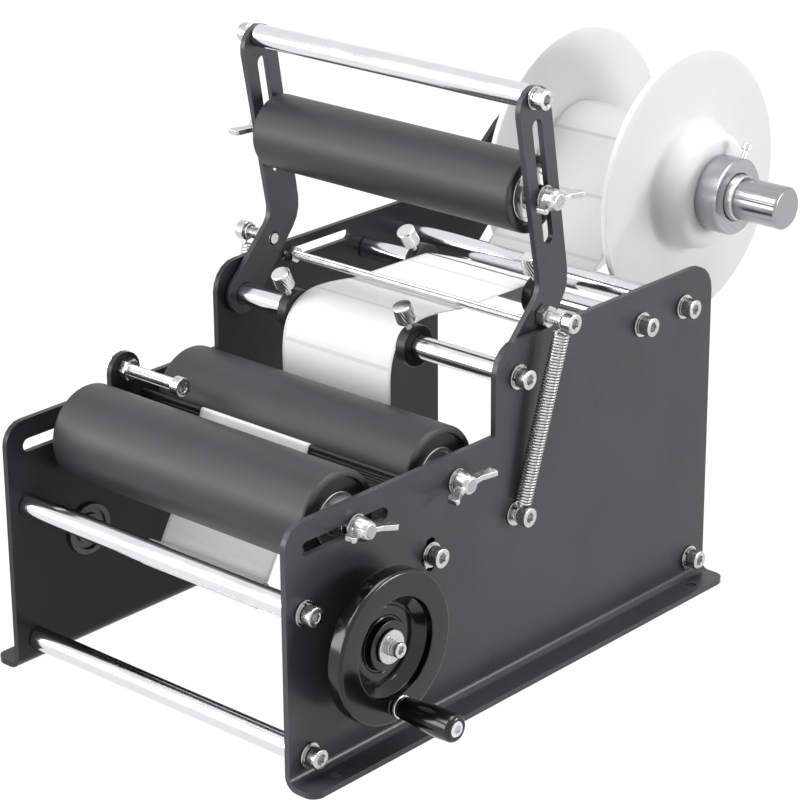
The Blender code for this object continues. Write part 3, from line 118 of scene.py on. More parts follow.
class Look:
    """A material's node tree, with short ways to add the nodes used here."""

    def __init__(self, name, colour, roughness, metallic=0.0, **sockets):
        self.material = bpy.data.materials.new(name)
        self.material.use_nodes = True
        self.tree = self.material.node_tree
        self.shader = self.tree.nodes["Principled BSDF"]
        self.shader.inputs["Base Color"].default_value = (*colour, 1)
        self.shader.inputs["Roughness"].default_value = roughness
        self.shader.inputs["Metallic"].default_value = metallic
        for key, value in sockets.items():
            self.shader.inputs[key.replace("_", " ")].default_value = value

    def add(self, kind, **inputs):
        node = self.tree.nodes.new(kind)
        for key, value in inputs.items():
            self.feed(node.inputs[key.replace("_", " ")], value)
        return node

    def feed(self, socket, value):
        if isinstance(value, bpy.types.NodeSocket):
            self.tree.links.new(value, socket)
        else:
            socket.default_value = (*value, 1) if socket.type == "RGBA" else value

    def math(self, operation, first, second=0.0):
        node = self.add("ShaderNodeMath")
        node.operation = operation
        self.feed(node.inputs[0], first)
        self.feed(node.inputs[1], second)
        return node.outputs[0]

    def place(self):
        return self.add("ShaderNodeTexCoord").outputs["Object"]

    def noise(self, scale, detail=3.0, stretch=None):
        vector = self.place()
        if stretch:
            mapping = self.add("ShaderNodeMapping", Vector=vector)
            mapping.inputs["Scale"].default_value = stretch
            vector = mapping.outputs[0]
        return self.add("ShaderNodeTexNoise", Vector=vector, Scale=scale, Detail=detail).outputs["Fac"]

    def spread(self, factor, low, high, start=0.3, end=0.7):
        node = self.add("ShaderNodeMapRange", Value=factor)
        node.inputs["From Min"].default_value = start
        node.inputs["From Max"].default_value = end
        node.inputs["To Min"].default_value = low
        node.inputs["To Max"].default_value = high
        return node.outputs[0]

    def blend(self, factor, first, second):
        node = self.add("ShaderNodeMix")
        node.data_type = "RGBA"
        for socket, value in ((0, factor), (6, first), (7, second)):
            self.feed(node.inputs[socket], value)
        return node.outputs[2]

    def colour(self, socket):
        self.tree.links.new(socket, self.shader.inputs["Base Color"])

    def tones(self, factor, dark, light):
        """A colour that drifts between two tones."""
        self.colour(self.blend(self.spread(factor, 0, 1), dark, light))

    def rough(self, factor, low, high):
        self.tree.links.new(self.spread(factor, low, high), self.shader.inputs["Roughness"])

    def from_axis(self, centre):
        """The distance from an axis along x, and x itself."""
        parts = self.add("ShaderNodeSeparateXYZ", Vector=self.place())
        squares = []
        for output, axis_place in ((parts.outputs[1], centre.y), (parts.outputs[2], centre.z)):
            off = self.math("SUBTRACT", output, axis_place)
            squares.append(self.math("MULTIPLY", off, off))
        return self.math("SQRT", self.math("ADD", *squares)), parts.outputs[0]

    def rings(self, place, scale, detail):
        """Fine rings: noise along one measure."""
        node = self.add("ShaderNodeTexNoise", Scale=scale, Detail=detail)
        node.noise_dimensions = "1D"
        self.tree.links.new(place, node.inputs["W"])
        return node.outputs["Fac"]

    def bump(self, height, strength, distance):
        node = self.add("ShaderNodeBump", Height=height)
        node.inputs["Strength"].default_value = strength
        node.inputs["Distance"].default_value = distance
        self.tree.links.new(node.outputs[0], self.shader.inputs["Normal"])


def powder_coat(name, level, sheen):
    """A satin black coat, with the fine orange peel and the slight clouding of sprayed powder."""
    look = Look(name, (level, level, level * 1.08), 0.35, Specular_IOR_Level=sheen)
    grain = look.noise(1400, 2)
    cloud = look.noise(18, 2)
    dark, light = level * 0.85, level * 1.15
    tone = look.blend(look.spread(cloud, 0, 1), (dark, dark, dark * 1.1), (light, light, light * 1.1))
    speck = level * 1.35
    look.colour(look.blend(look.spread(grain, 0, 0.3), tone, (speck, speck, speck * 1.1)))
    both = look.math("ADD", look.math("MULTIPLY", grain, 0.6), look.math("MULTIPLY", cloud, 0.4))
    look.rough(both, 0.25, 0.36)
    look.bump(grain, 0.2, 0.00006)
    return look.material


def rubber():
    look = Look("rubber_look", (0.028, 0.0285, 0.0305), 0.46, Specular_IOR_Level=0.42)
    grain = look.noise(2200, 2)
    cloud = look.noise(40, 3)
    look.tones(cloud, (0.025, 0.0254, 0.0272), (0.031, 0.0315, 0.034))
    both = look.math("ADD", look.math("MULTIPLY", grain, 0.5), look.math("MULTIPLY", cloud, 0.5))
    look.rough(both, 0.4, 0.52)
    look.bump(grain, 0.2, 0.00004)
    return look.material


def metal(name, colour, low, high, scale=90, darker=0.9, stretch=None, bump=0.0):
    """A bare metal whose polish and tone drift a little."""
    look = Look(name, colour, (low + high) / 2, 1.0)
    drift = look.noise(scale, 4, stretch)
    look.tones(drift, tuple(c * darker for c in colour), colour)
    look.rough(drift, low, high)
    if bump:
        look.bump(drift, bump, 0.00003)
    return look.material


def turned_steel(centre):
    """Steel faced on a lathe: fine rings round an axis along x."""
    look = Look("turned_steel_look", (0.7, 0.7, 0.71), 0.24, 1.0)
    value = look.rings(look.math("ADD", *look.from_axis(centre)), 2600.0, 3.0)
    look.tones(value, (0.32, 0.32, 0.33), (0.46, 0.46, 0.47))
    look.rough(value, 0.16, 0.34)
    look.bump(value, 0.3, 0.00003)
    return look.material


def gloss_black():
    look = Look("gloss_black_look", (0.004, 0.004, 0.0042), 0.14, 0.0)
    cloud = look.noise(30, 3)
    fine = look.noise(900, 2)
    look.tones(cloud, (0.0025, 0.0025, 0.0027), (0.005, 0.005, 0.0055))
    look.rough(cloud, 0.1, 0.19)
    look.bump(fine, 0.03, 0.00003)
    return look.material


def grained(name, colour, metallic, dark, light, scale, bump, **sockets):
    """A dull dark metal with an even grain."""
    look = Look(name, colour, 0.34, metallic, **sockets)
    grain = look.noise(scale, 3)
    look.tones(grain, dark, light)
    look.rough(grain, 0.27, 0.42)
    look.bump(grain, bump, 0.00004)
    return look.material


def frosted_plastic():
    look = Look("frosted_plastic_look", (0.85, 0.855, 0.86), 0.45, 0.0, Subsurface_Weight=0.5,
                Subsurface_Scale=0.02, Subsurface_Radius=(1.0, 1.0, 1.0), Specular_IOR_Level=0.35)
    cloud = look.noise(14, 3)
    grain = look.noise(1300, 2)
    look.tones(cloud, (0.835, 0.84, 0.846), (0.865, 0.87, 0.875))
    look.rough(grain, 0.4, 0.52)
    look.bump(grain, 0.08, 0.00004)
    return look.material


WEB_WIDTH = 96.0
LABEL_PITCH = 46.0
LABEL_GAP = 2.6
LABEL_EDGE = 2.2
# Painted shade: the label roll and the web near it get a darker paper, standing in for the shade between the discs.
PAINTED_SHADE_TONE = 0.58


def paper(name, offset, tone=1.0):
    """Labels on their liner: white, with a narrow gap between one label and the next and at both edges. A tone below 1
    darkens the whole paper as painted shade.
    """
    look = Look(name, (0.92, 0.92, 0.925), 0.55, 0.0, Subsurface_Weight=0.15, Subsurface_Scale=0.003,
                Subsurface_Radius=(1.0, 1.0, 1.0), Specular_IOR_Level=0.3)
    uv = look.add("ShaderNodeSeparateXYZ", Vector=look.add("ShaderNodeUVMap").outputs[0])
    along = look.math("FRACT", look.math("DIVIDE", look.math("ADD", uv.outputs[1], offset), LABEL_PITCH * MM))
    in_gap = look.math("LESS_THAN", along, LABEL_GAP / LABEL_PITCH)
    edge = look.math("MINIMUM", uv.outputs[0], look.math("SUBTRACT", WEB_WIDTH * MM, uv.outputs[0]))
    at_edge = look.math("LESS_THAN", edge, LABEL_EDGE * MM)
    liner = look.math("MAXIMUM", in_gap, at_edge)
    fibres = look.noise(260, 5)
    low, high, edge_tone = 0.91 * tone, 0.94 * tone, 0.76 * tone
    white = look.blend(look.spread(fibres, 0, 1), (low, low, low + 0.004), (high, high, high + 0.004))
    look.colour(look.blend(liner, white, (edge_tone, edge_tone, edge_tone + 0.006)))
    look.rough(fibres, 0.45, 0.6)
    height = look.math("SUBTRACT", look.math("MULTIPLY", fibres, 0.15), look.math("MULTIPLY", liner, 0.6))
    look.bump(height, 0.35, 0.0001)
    return look.material


def wound_edge(centre):
    """The end faces of a wound roll: fine rings of paper."""
    look = Look("wound_edge_look", (0.8, 0.8, 0.8), 0.65)
    rings = look.rings(look.from_axis(centre)[0], 1800.0, 2.0)
    look.tones(rings, (0.68, 0.68, 0.68), (0.88, 0.88, 0.88))
    look.bump(rings, 0.3, 0.0001)
    return look.material


def card():
    look = Look("card_look", (0.42, 0.33, 0.23), 0.85)
    fibres = look.noise(300, 5)
    look.tones(fibres, (0.36, 0.28, 0.19), (0.48, 0.38, 0.27))
    look.bump(fibres, 0.3, 0.0001)
    return look.material


COAT = powder_coat("powder_coat_look", 0.05, 0.36)
# A darker copy of the same coat, for the left plate only: painted shade for the shade on its inner face.
PAINTED_SHADE_COAT = powder_coat("painted_shade_powder_coat_look", 0.028, 0.2)
RUBBER = rubber()
CHROME = metal("chrome_look", (0.76, 0.765, 0.78), 0.12, 0.19, 60, 0.96)
THREAD = metal("thread_look", (0.74, 0.74, 0.745), 0.16, 0.26, 120, 0.9)
ZINC = metal("zinc_look", (0.62, 0.62, 0.615), 0.16, 0.32, 420, 0.82, bump=0.25)
CAST_ZINC = metal("cast_zinc_look", (0.62, 0.62, 0.63), 0.2, 0.36, 300, 0.8, bump=0.5)
STEEL = metal("steel_look", (0.44, 0.44, 0.45), 0.2, 0.34, 160, 0.82, (1, 6, 6), 0.15)
GROUND = metal("ground_steel_look", (0.4, 0.4, 0.41), 0.1, 0.2, 240, 0.86, (0.3, 8, 8), 0.08)
SATIN = metal("satin_steel_look", (0.7, 0.7, 0.705), 0.28, 0.4, 300, 0.9, bump=0.1)
BLACK = gloss_black()
BLACK_STEEL = grained("black_steel_look", (0.02, 0.02, 0.021), 0.0, (0.017, 0.017, 0.018), (0.024, 0.024, 0.025),
                      700, 0.12, Specular_IOR_Level=0.3)
DARK_ALLOY = grained("dark_alloy_look", (0.1, 0.1, 0.103), 0.7, (0.08, 0.08, 0.083), (0.12, 0.12, 0.124), 500, 0.15)
FROSTED = frosted_plastic()
CARD = card()


# ---- mesh helpers


def lathe(profile, segments=72, closed=False, shape=None):
    """A piece turned about x from (x, radius) points in millimetres. shape(angle, x, r) may alter a radius."""
    work = bmesh.new()
    rings = []
    for x, r in profile:
        if r < 1e-6:
            rings.append([work.verts.new((x * MM, 0, 0))])
            continue
        ring = []
        for index in range(segments):
            angle = 2 * math.pi * index / segments
            here = shape(angle, x, r) if shape else r
            ring.append(work.verts.new((x * MM, here * MM * math.cos(angle), here * MM * math.sin(angle))))
        rings.append(ring)
    follow = rings[1:] + ([rings[0]] if closed else [])
    for first, second in zip(rings, follow):
        for index in range(segments):
            after = (index + 1) % segments
            corners = [first[index % len(first)], first[after % len(first)], second[after % len(second)],
                       second[index % len(second)]]
            unique = list(dict.fromkeys(corners))
            if len(unique) > 2:
                work.faces.new(unique)
    bmesh.ops.recalc_face_normals(work, faces=work.faces)
    return work


def prism(outline, low, high, place=lambda x, y, z: (x, y, z)):
    """A prism along x over an outline of (y, z) points in millimetres. place(x, y, z) may turn it."""
    work = bmesh.new()
    near, far = ([work.verts.new([value * MM for value in place(x, y, z)]) for y, z in outline] for x in (low, high))
    work.faces.new(near)
    work.faces.new(list(reversed(far)))
    for index in range(len(outline)):
        after = (index + 1) % len(outline)
        work.faces.new((near[index], far[index], far[after], near[after]))
    bmesh.ops.recalc_face_normals(work, faces=work.faces)
    return work


def sweep(start, stop, step):
    """Angles in radians, from whole degrees."""
    return [math.radians(angle) for angle in range(start, stop, step)]


def polygon(radius, count, turn=0.0):
    return [(radius * math.cos(turn + 2 * math.pi * i / count), radius * math.sin(turn + 2 * math.pi * i / count))
            for i in range(count)]


def to_mesh(work, name):
    mesh = bpy.data.meshes.new(name)
    work.to_mesh(mesh)
    work.free()
    return mesh


def added(name, data):
    made = bpy.data.objects.new(name, data)
    bpy.context.scene.collection.objects.link(made)
    return made


def modify(obj, *settings):
    """Add modifiers to an object: each setting is (type, {property: value})."""
    for kind, values in settings:
        modifier = obj.modifiers.new(kind, kind)
        for key, value in values.items():
            setattr(modifier, key, value)


def baked(data, *settings):
    """The mesh or curve as a mesh, with modifiers applied."""
    holder = added("holder", data)
    modify(holder, *settings)
    bpy.context.view_layer.update()
    graph = bpy.context.evaluated_depsgraph_get()
    result = bpy.data.meshes.new_from_object(holder.evaluated_get(graph))
    bpy.data.objects.remove(holder)
    return result


def carved(mesh, tools, operation="DIFFERENCE"):
    helpers = [added("tool", tool) for tool in tools]
    result = baked(mesh, *(("BOOLEAN", {"operation": operation, "solver": "EXACT", "object": helper})
                           for helper in helpers))
    for helper in helpers:
        bpy.data.objects.remove(helper)
    return result


FACE_NORMALS = {"mode": "FACE_AREA", "weight": 90}


def edge_bevel(width, angle):
    return "BEVEL", {"width": width * MM, "segments": 2, "limit_method": "ANGLE", "angle_limit": math.radians(angle)}


def smooth(mesh, angle=38):
    """The mesh shaded smooth, with its broad faces kept flat and its sharp edges kept crisp."""
    mesh.shade_smooth()
    mesh.set_sharp_from_angle(angle=math.radians(angle))
    return baked(mesh, ("WEIGHTED_NORMAL", {**FACE_NORMALS, "keep_sharp": True}))


def lathed(profile, segments, name, angle=38, closed=False):
    return smooth(to_mesh(lathe(profile, segments, closed), name), angle)


def put(name, mesh, material, body, place=None, replaces=()):
    """One piece of the object: a mesh at a place, riding on a body."""
    if not mesh.materials:
        mesh.materials.append(material)
    made = added(name, mesh)
    if isinstance(place, Matrix):
        made.matrix_world = place
    elif place is not None:
        made.location = place
    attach(made, body)
    if replaces:
        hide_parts(*replaces)
    return made


def turned(name, profile, material, body, node, segments=96, closed=False, bevel=0):
    """A turned piece that stands for a CAD node, on that node's axis."""
    mesh = to_mesh(lathe(profile, segments, closed), name)
    if bevel:
        mesh = baked(mesh, ("WELD", {"merge_threshold": 0.000002}), edge_bevel(bevel, 28))
    return put(name, smooth(mesh), material, body, spot(*axis_of(node)), [node])


SIDES = ((1, "right"), (-1, "left"))
FLIP = Matrix.Rotation(math.pi, 4, "Z")


def sided(side, place):
    """A piece made for the right-hand side, turned round for the left when side is -1."""
    return Matrix.Translation(place) @ (FLIP if side < 0 else Matrix())


def slid(x):
    return Matrix.Translation((x * MM, 0, 0))


def zinc(name, mesh, body, place, nodes=()):
    """A zinc-plated fastener."""
    return put(name, mesh, ZINC, body, place, nodes)


# ---- side plates and arms: the CAD shapes with soft edges


def dress(node, material, bevel):
    """Give a carried-over CAD node its look, and round its edges a little."""
    obj = NODES[node]
    obj.data.materials.clear()
    obj.data.materials.append(material)
    obj.data.shade_smooth()
    modify(obj, ("WELD", {"merge_threshold": 0.000005}),
           ("DECIMATE", {"decimate_type": "DISSOLVE", "angle_limit": math.radians(0.5)}),
           edge_bevel(bevel, 45), ("WEIGHTED_NORMAL", FACE_NORMALS))


for plate in ("right_side_plate", "left_arm", "right_arm"):
    dress(plate, COAT, 0.5)
# The left plate takes the darker copy of the coat: painted shade.
dress("left_side_plate", PAINTED_SHADE_COAT, 0.5)


# ---- rods


def rod_profile(low, high, radius, chamfer=0.6):
    return [(high, 0), (high, radius - chamfer), (high - chamfer, radius), (low + chamfer, radius),
            (low, radius - chamfer), (low, 0)]


RODS = ("front_low_rod", "front_middle_rod", "rear_low_rod", "guide_rod_1", "guide_rod_2", "guide_rod_3")
for rod in RODS + ("handle_tube",):
    turned(rod + "_polished", rod_profile(*span_of(rod), radius_of(rod)), CHROME,
           "arm" if rod == "handle_tube" else "frame", rod, 64)


# ---- fasteners


def knurl(count, depth, low, high, slant=0.0):
    """Straight or slanting knurling between two x places."""
    def shape(angle, x, r):
        if low < x < high:
            return r - depth * (0.5 - 0.5 * math.cos(count * (angle + slant * x / r)))
        return r
    return shape


def screw_mesh(radius, head_r, head_h, depth, socket_flats, segments=96):
    """A socket-head cap screw: its seat at x = 0, its head towards +x."""
    body = lathe([
        (head_h, 0), (head_h, head_r - 0.7), (head_h - 0.25, head_r - 0.25), (head_h - 0.8, head_r),
        (head_h * 0.5, head_r), (0.5, head_r), (0.1, head_r - 0.3), (0, head_r - 0.6), (0, radius),
        (-depth, radius), (-depth, 0),
    ], segments, shape=knurl(segments // 4, 0.16, head_h * 0.3, head_h - 0.9))
    socket = prism(polygon(socket_flats / 2 / math.cos(math.pi / 6), 6, 0.3), head_h * 0.45, head_h + 1)
    mouth = lathe([(head_h + 0.05, 0), (head_h + 0.05, socket_flats * 0.62), (head_h - 0.6, socket_flats * 0.5),
                   (head_h - 0.6, 0)], 32)
    return smooth(carved(to_mesh(body, "screw"), [to_mesh(socket, "socket"), to_mesh(mouth, "mouth")]), 32)


def ring_mesh(low, high, radius, bore, chamfer=0.25):
    return lathed([(high, bore), (high, radius - chamfer), (high - chamfer, radius), (low + chamfer, radius),
                   (low, radius - chamfer), (low, bore)], 64, "ring", 30, True)


def split_washer_mesh(low, thick, radius, bore, rise=0.45, segments=56):
    """A spring washer: a ring cut through, with its ends a little apart."""
    work = bmesh.new()
    rings = []
    for index in range(segments + 1):
        angle = math.radians(6 + 348 * index / segments)
        shift = low + rise * index / segments
        section = [(shift, bore), (shift, radius), (shift + thick - rise, radius), (shift + thick - rise, bore)]
        rings.append([work.verts.new((x * MM, r * MM * math.cos(angle), r * MM * math.sin(angle)))
                      for x, r in section])
    for first, second in zip(rings, rings[1:]):
        for corner in range(4):
            after = (corner + 1) % 4
            work.faces.new((first[corner], first[after], second[after], second[corner]))
    work.faces.new(rings[0])
    work.faces.new(list(reversed(rings[-1])))
    bmesh.ops.recalc_face_normals(work, faces=work.faces)
    return smooth(to_mesh(work, "split_washer"), 30)


def nut_mesh(low, height, flats, bore):
    """A hexagon nut with chamfered corners."""
    high = low + height
    corner = flats / 2 / math.cos(math.pi / 6)
    chamfer = (corner - flats / 2) * 0.75
    body = to_mesh(prism(polygon(corner, 6, math.pi / 6), low, high), "nut")
    limit = to_mesh(lathe([(high, 0), (high, flats / 2 * 0.97), (high - chamfer, corner * 1.01),
                           (low + chamfer, corner * 1.01), (low, flats / 2 * 0.97), (low, 0)], 64), "limit")
    hole = to_mesh(lathe([(high + 1, 0), (high + 1, bore), (low - 1, bore), (low - 1, 0)], 48), "hole")
    return smooth(carved(carved(body, [limit], "INTERSECT"), [hole]), 25)


def threaded(low, high, radius, pitch, chamfer=True):
    """Profile of a threaded rod, as rings a pitch apart."""
    depth = pitch * 0.36
    points = [(high, 0)]
    if chamfer:
        points.append((high, radius - depth))
    x = high - pitch * 0.4
    while x > low + pitch:
        points += [(x, radius), (x - pitch * 0.12, radius), (x - pitch * 0.5, radius - depth),
                   (x - pitch * 0.62, radius - depth)]
        x -= pitch
    points += [(low, radius - depth), (low, 0)]
    return points


PLATE_T = 4
OUTER = span_of("right_side_plate")[0] + PLATE_T
HALF = OUTER - PLATE_T
ARM_OUTER = span_of("right_arm")[1]
M8_R = 4
M8_PITCH = 1.25
M8_HEAD_R = 6.5
M8_HEAD_H = 7
M8_FLATS = 6
M8_NUT_H = 6.5
WASHER_T = 1.3
SPRING_T = 1.6
SEAT_GAP = 0.3
STACK = WASHER_T + SPRING_T

M8_SCREW = screw_mesh(M8_R, M8_HEAD_R, M8_HEAD_H, 3.2, M8_FLATS)
FLAT_WASHER = ring_mesh(0, WASHER_T, 8.3, 4.3)
SMALL_WASHER = ring_mesh(0, WASHER_T, 7.3, 4.3)
SPLIT_WASHER = split_washer_mesh(WASHER_T, SPRING_T, 6.6, 4.1)


def screw_set(name, body, y, z, seat, side, turn=0.0, washer=FLAT_WASHER):
    """A cap screw on its flat and spring washers, standing on a plate's face."""
    spin = Matrix.Rotation(turn, 4, "X")
    base = sided(side, spot(y, z, side * seat)) @ spin
    zinc(name + "_washer", washer, body, base)
    zinc(name + "_spring_washer", SPLIT_WASHER, body, base)
    zinc(name + "_screw", M8_SCREW, body, base @ slid(STACK))


for index, rod in enumerate(RODS):
    for side, word in SIDES:
        screw_set("%s_%s" % (rod, word), "frame", *axis_of(rod), OUTER + SEAT_GAP, side, 0.7 * index + side)
PEEL_LOW, PEEL_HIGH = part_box("peel_plate")
PEEL_SCREW = (128.0, 112.2)
for side, word in SIDES:
    screw_set("handle_" + word, "arm", *axis_of("handle_tube"), ARM_OUTER + SEAT_GAP, side, 0, SMALL_WASHER)
    screw_set("peel_" + word, "peel", *PEEL_SCREW, OUTER + SEAT_GAP, side, 1.1)


def wing_mesh():
    """A cast wing nut on its seat at x = 0, with rounded wings along y."""
    hub = to_mesh(lathe([(9.4, 0), (9.4, 4.6), (8.8, 5.8), (7.2, 6.6), (3, 7.3), (0.5, 7.7), (0, 7.5), (0, 0)], 48),
                  "hub")
    outline = [(4.0, 1.2), (9.0, 2.6), (18.2, 5.2), (19.6, 6.0), (20.3, 7.4), (20.4, 12.6), (19.8, 13.8),
               (18.6, 14.2), (16.8, 13.6), (10.0, 9.6), (4.0, 8.6)]
    wings = [to_mesh(prism(outline, -1.7, 1.7, lambda thick, y, x: (x, direction * y, thick)), "wing")
             for direction in (1, -1)]
    mesh = carved(hub, wings, "UNION")
    mesh = baked(mesh, ("REMESH", {"mode": "VOXEL", "voxel_size": 0.32 * MM, "use_smooth_shade": True}),
                 ("SMOOTH", {"factor": 0.5, "iterations": 3}),
                 ("DECIMATE", {"ratio": 0.25}))
    mesh.shade_smooth()
    return mesh


WING = wing_mesh()


def wing_nut(node, body, seat, side, lean):
    y, z = axis_of(node)
    base = sided(side, spot(y, z, side * seat)) @ Matrix.Rotation(side * lean, 4, "X")
    zinc(node + "_washer", FLAT_WASHER, body, base)
    zinc(node + "_spring_washer", SPLIT_WASHER, body, base)
    put(node + "_cast", WING, CAST_ZINC, body, base @ slid(STACK), [node])


# ---- rollers

BEARING_FACE = 109.0


def roller(name, sleeve_body, axle_body, seat, lean):
    end = span_of(name)[1]
    radius = radius_of(name)
    rim = radius - 4.6
    profile = [
        (end - 2.2, 17.7), (end - 2.2, rim - 0.4), (end - 1.8, rim), (end, rim + 0.3), (end, radius - 1.7),
        (end - 0.5, radius - 0.6), (end - 1.6, radius - 0.05), (end - 2.2, radius),
    ]
    profile += [(-x, r) for x, r in reversed(profile)]
    turned(name + "_rubber", profile, RUBBER, sleeve_body, name, 128, closed=True)
    for side, word in SIDES:
        node = "%s_%s_bearing" % (name, word)
        face = BEARING_FACE
        bearing = [
            (face, 7.8), (face, 9.6), (face - 0.3, 10.0), (face - 0.6, 10.2), (face - 0.6, 14.6), (face - 0.3, 14.9),
            (face, 15.2), (face, 17.2), (face - 0.3, 17.5), (face - 10.7, 17.5), (face - 11, 17.2), (face - 11, 7.8),
        ]
        put(node + "_rings", lathed(bearing, 72, node, 24, True), SATIN, sleeve_body,
            sided(side, spot(*axis_of(node))), [node])
        wing_nut("%s_%s_wing_nut" % (name, word), axle_body, seat + SEAT_GAP, side, lean)
    axle = name + "_axle"
    shoulder = seat - PLATE_T - SEAT_GAP
    ends = threaded(shoulder, span_of(axle)[1], M8_R, M8_PITCH)
    profile = ends[:-1] + [(shoulder, 7.2), (shoulder - 0.3, 7.5)]
    profile += [(-x, r) for x, r in reversed(profile)]
    turned(axle + "_turned", profile, STEEL, axle_body, axle, 48)


roller("front_roller", "front_roller_sleeve", "front_axle", OUTER, math.radians(-6))
roller("second_roller", "second_roller_sleeve", "frame", OUTER, math.radians(12))
roller("arm_roller", "arm_roller_sleeve", "arm_axle", ARM_OUTER, math.radians(4))


# ---- springs and their bolts

SPRING_TOP = axis_of("right_spring_bolt")
SPRING_FOOT = axis_of("right_spring_anchor")
NUT_M8 = nut_mesh(0, M8_NUT_H, 13, 4.1)
BOLT_END = span_of("right_spring_bolt")[1]
ANCHOR_END = span_of("right_spring_anchor")[1]
SHORT_SCREW = screw_mesh(M8_R - 0.1, M8_HEAD_R, M8_HEAD_H, 1, M8_FLATS)


def spring_bolt(side, node, body, place, start, end, nut, washer=None):
    """A bolt that holds a spring's end, from x = start to end, with its nut and washer at their x."""
    base = sided(side, spot(*place))
    shank = threaded(start, end - M8_HEAD_H, M8_R, M8_PITCH, chamfer=False)
    zinc(node + "_shank", lathed(shank, 40, node), body, base, [node])
    zinc(node + "_head", SHORT_SCREW, body, base @ slid(end - M8_HEAD_H))
    if washer:
        zinc(node + "_washer", FLAT_WASHER, body, base @ slid(washer))
    zinc(node + "_nut", NUT_M8, body, base @ slid(nut))


def tube_mesh(points, radius):
    """A round wire through points."""
    curve = bpy.data.curves.new("wire", "CURVE")
    curve.dimensions = "3D"
    curve.bevel_depth = radius
    curve.bevel_resolution = 1
    curve.use_fill_caps = True
    spline = curve.splines.new("POLY")
    spline.points.add(len(points) - 1)
    for point, place in zip(spline.points, points):
        point.co = (*place, 1)
    mesh = baked(curve)
    mesh.shade_smooth()
    return mesh


def coil_spring(side, word):
    """A closely wound extension spring with a loop round each bolt."""
    low = spot(*SPRING_FOOT, side * (ANCHOR_END - M8_HEAD_H - 1.5))
    high = spot(*SPRING_TOP, side * (BOLT_END - M8_HEAD_H - 2.2))
    axis = (high - low).normalized()
    across_x = Vector((1, 0, 0))
    across_x = (across_x - axis * across_x.dot(axis)).normalized()
    across = axis.cross(across_x)
    room = 8 * MM
    length = (high - low).length - 2 * room
    coil_r = 5.0 * MM
    turns = 58
    hook = 5.0 * MM
    steps = 14
    loop_steps = 19

    def loop(centre, facing, order):
        for index in order:
            angle = math.radians(-155 + 305 * index / loop_steps)
            points.append(centre + facing * hook * math.cos(angle) + across * hook * math.sin(angle))

    points = []
    loop(low, -axis, range(loop_steps, -1, -1))
    for index in range(turns * steps + 1):
        angle = 2 * math.pi * index / steps - math.pi / 2
        rise = room + length * index / (turns * steps)
        points.append(low + axis * rise + (across_x * math.cos(angle) + across * math.sin(angle)) * coil_r)
    loop(high, axis, range(loop_steps + 1))
    mesh = tube_mesh(points, 0.78 * MM)
    mesh.materials.append(ZINC)
    made = added(word + "_spring_coil", mesh)
    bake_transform(made)
    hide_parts(word + "_spring")


for side, word in SIDES:
    spring_bolt(side, word + "_spring_bolt", "arm", SPRING_TOP, ARM_OUTER - 4.9, BOLT_END, ARM_OUTER + SEAT_GAP)
    spring_bolt(side, word + "_spring_anchor", "frame", SPRING_FOOT, HALF - 8, ANCHOR_END, HALF - 6.8,
                OUTER + SEAT_GAP)
for side, word in SIDES:
    coil_spring(side, word)


# ---- stop rod and bottle stop


def stop(node, body, start, end, radius, pitch, segments, nut, nut_h, nut_body, nut_turn=0.0, head=None):
    """A threaded rod from x = start to end through the left plate, with a nut on each side of the plate."""
    place = spot(*axis_of(node))
    thread = lathed(threaded(start, end, radius, pitch), segments, node + "_thread", 60)
    put(node + "_thread", thread, THREAD, body, place, [node])
    if head:
        zinc(node + "_head", head, body, place + Vector((end * MM, 0, 0)))
    for name, x in (("inner", -(HALF - SEAT_GAP)), ("outer", -(OUTER + SEAT_GAP + nut_h))):
        zinc("%s_%s_nut" % (node, name), nut, nut_body,
             Matrix.Translation(spot(*axis_of(node), x)) @ Matrix.Rotation(nut_turn, 4, "X"))


low, high = span_of("stop_rod")
stop("stop_rod", "web_stop", low, high, 3, 1, 28, nut_mesh(0, 5, 10, 3.1), 5, "web_stop")
low, high = span_of("bottle_stop")
stop("bottle_stop", "bottle_end_stop", low, high - M8_HEAD_H, M8_R, M8_PITCH, 32, NUT_M8, M8_NUT_H, "frame", 0.5,
     SHORT_SCREW)


# ---- guide collars and thumb screws


def thumb_head(length, radius):
    steps = 8
    body = [(length, 0), (length, radius - 1.0), (length - 0.5, radius - 0.4), (length - 0.9, radius)]
    body += [(length - 1.0 - (length - 2.0) * i / steps, radius) for i in range(steps + 1)]
    body += [(0.4, radius - 0.5), (0, radius - 1.0), (0, 0)]
    return smooth(to_mesh(lathe(body, 160, shape=knurl(22, 0.7, 0.9, length - 0.9, 0.35)), "thumb_head"), 60)


THUMB_HEAD = thumb_head(13, 6.5)
for place, lean in (("1_left", 26), ("1_right", 21), ("2_left", 31), ("2_right", 19)):
    collar = "guide_collar_" + place
    body = "guide_" + place
    low, high = span_of(collar)
    profile = [(high, 7.8), (high, 12.9), (high - 0.35, 13.7), (high - 1.1, 14), (low + 1.1, 14),
               (low + 0.35, 13.7), (low, 12.9), (low, 7.8)]
    turned(collar + "_ring", profile, BLACK_STEEL, body, collar, 96, closed=True, bevel=0.25)
    y, z = axis_of("guide_rod_" + place[0])
    upright = Matrix.Rotation(math.radians(lean), 4, "X") @ Matrix.Rotation(-math.pi / 2, 4, "Y")
    base = Matrix.Translation(spot(y, z, (low + high) / 2)) @ upright
    stem = threaded(7.8, 19.8, 2.0, 0.7)
    zinc(collar + "_screw_stem", lathed(stem, 24, "stem", 60), body, base)
    put(collar + "_screw_head", THUMB_HEAD, THREAD, body, base @ slid(19.5), [collar + "_screw"])


# ---- peel plate

dress("peel_plate", BLACK_STEEL, 0.3)


# ---- handwheel, shaft and grip


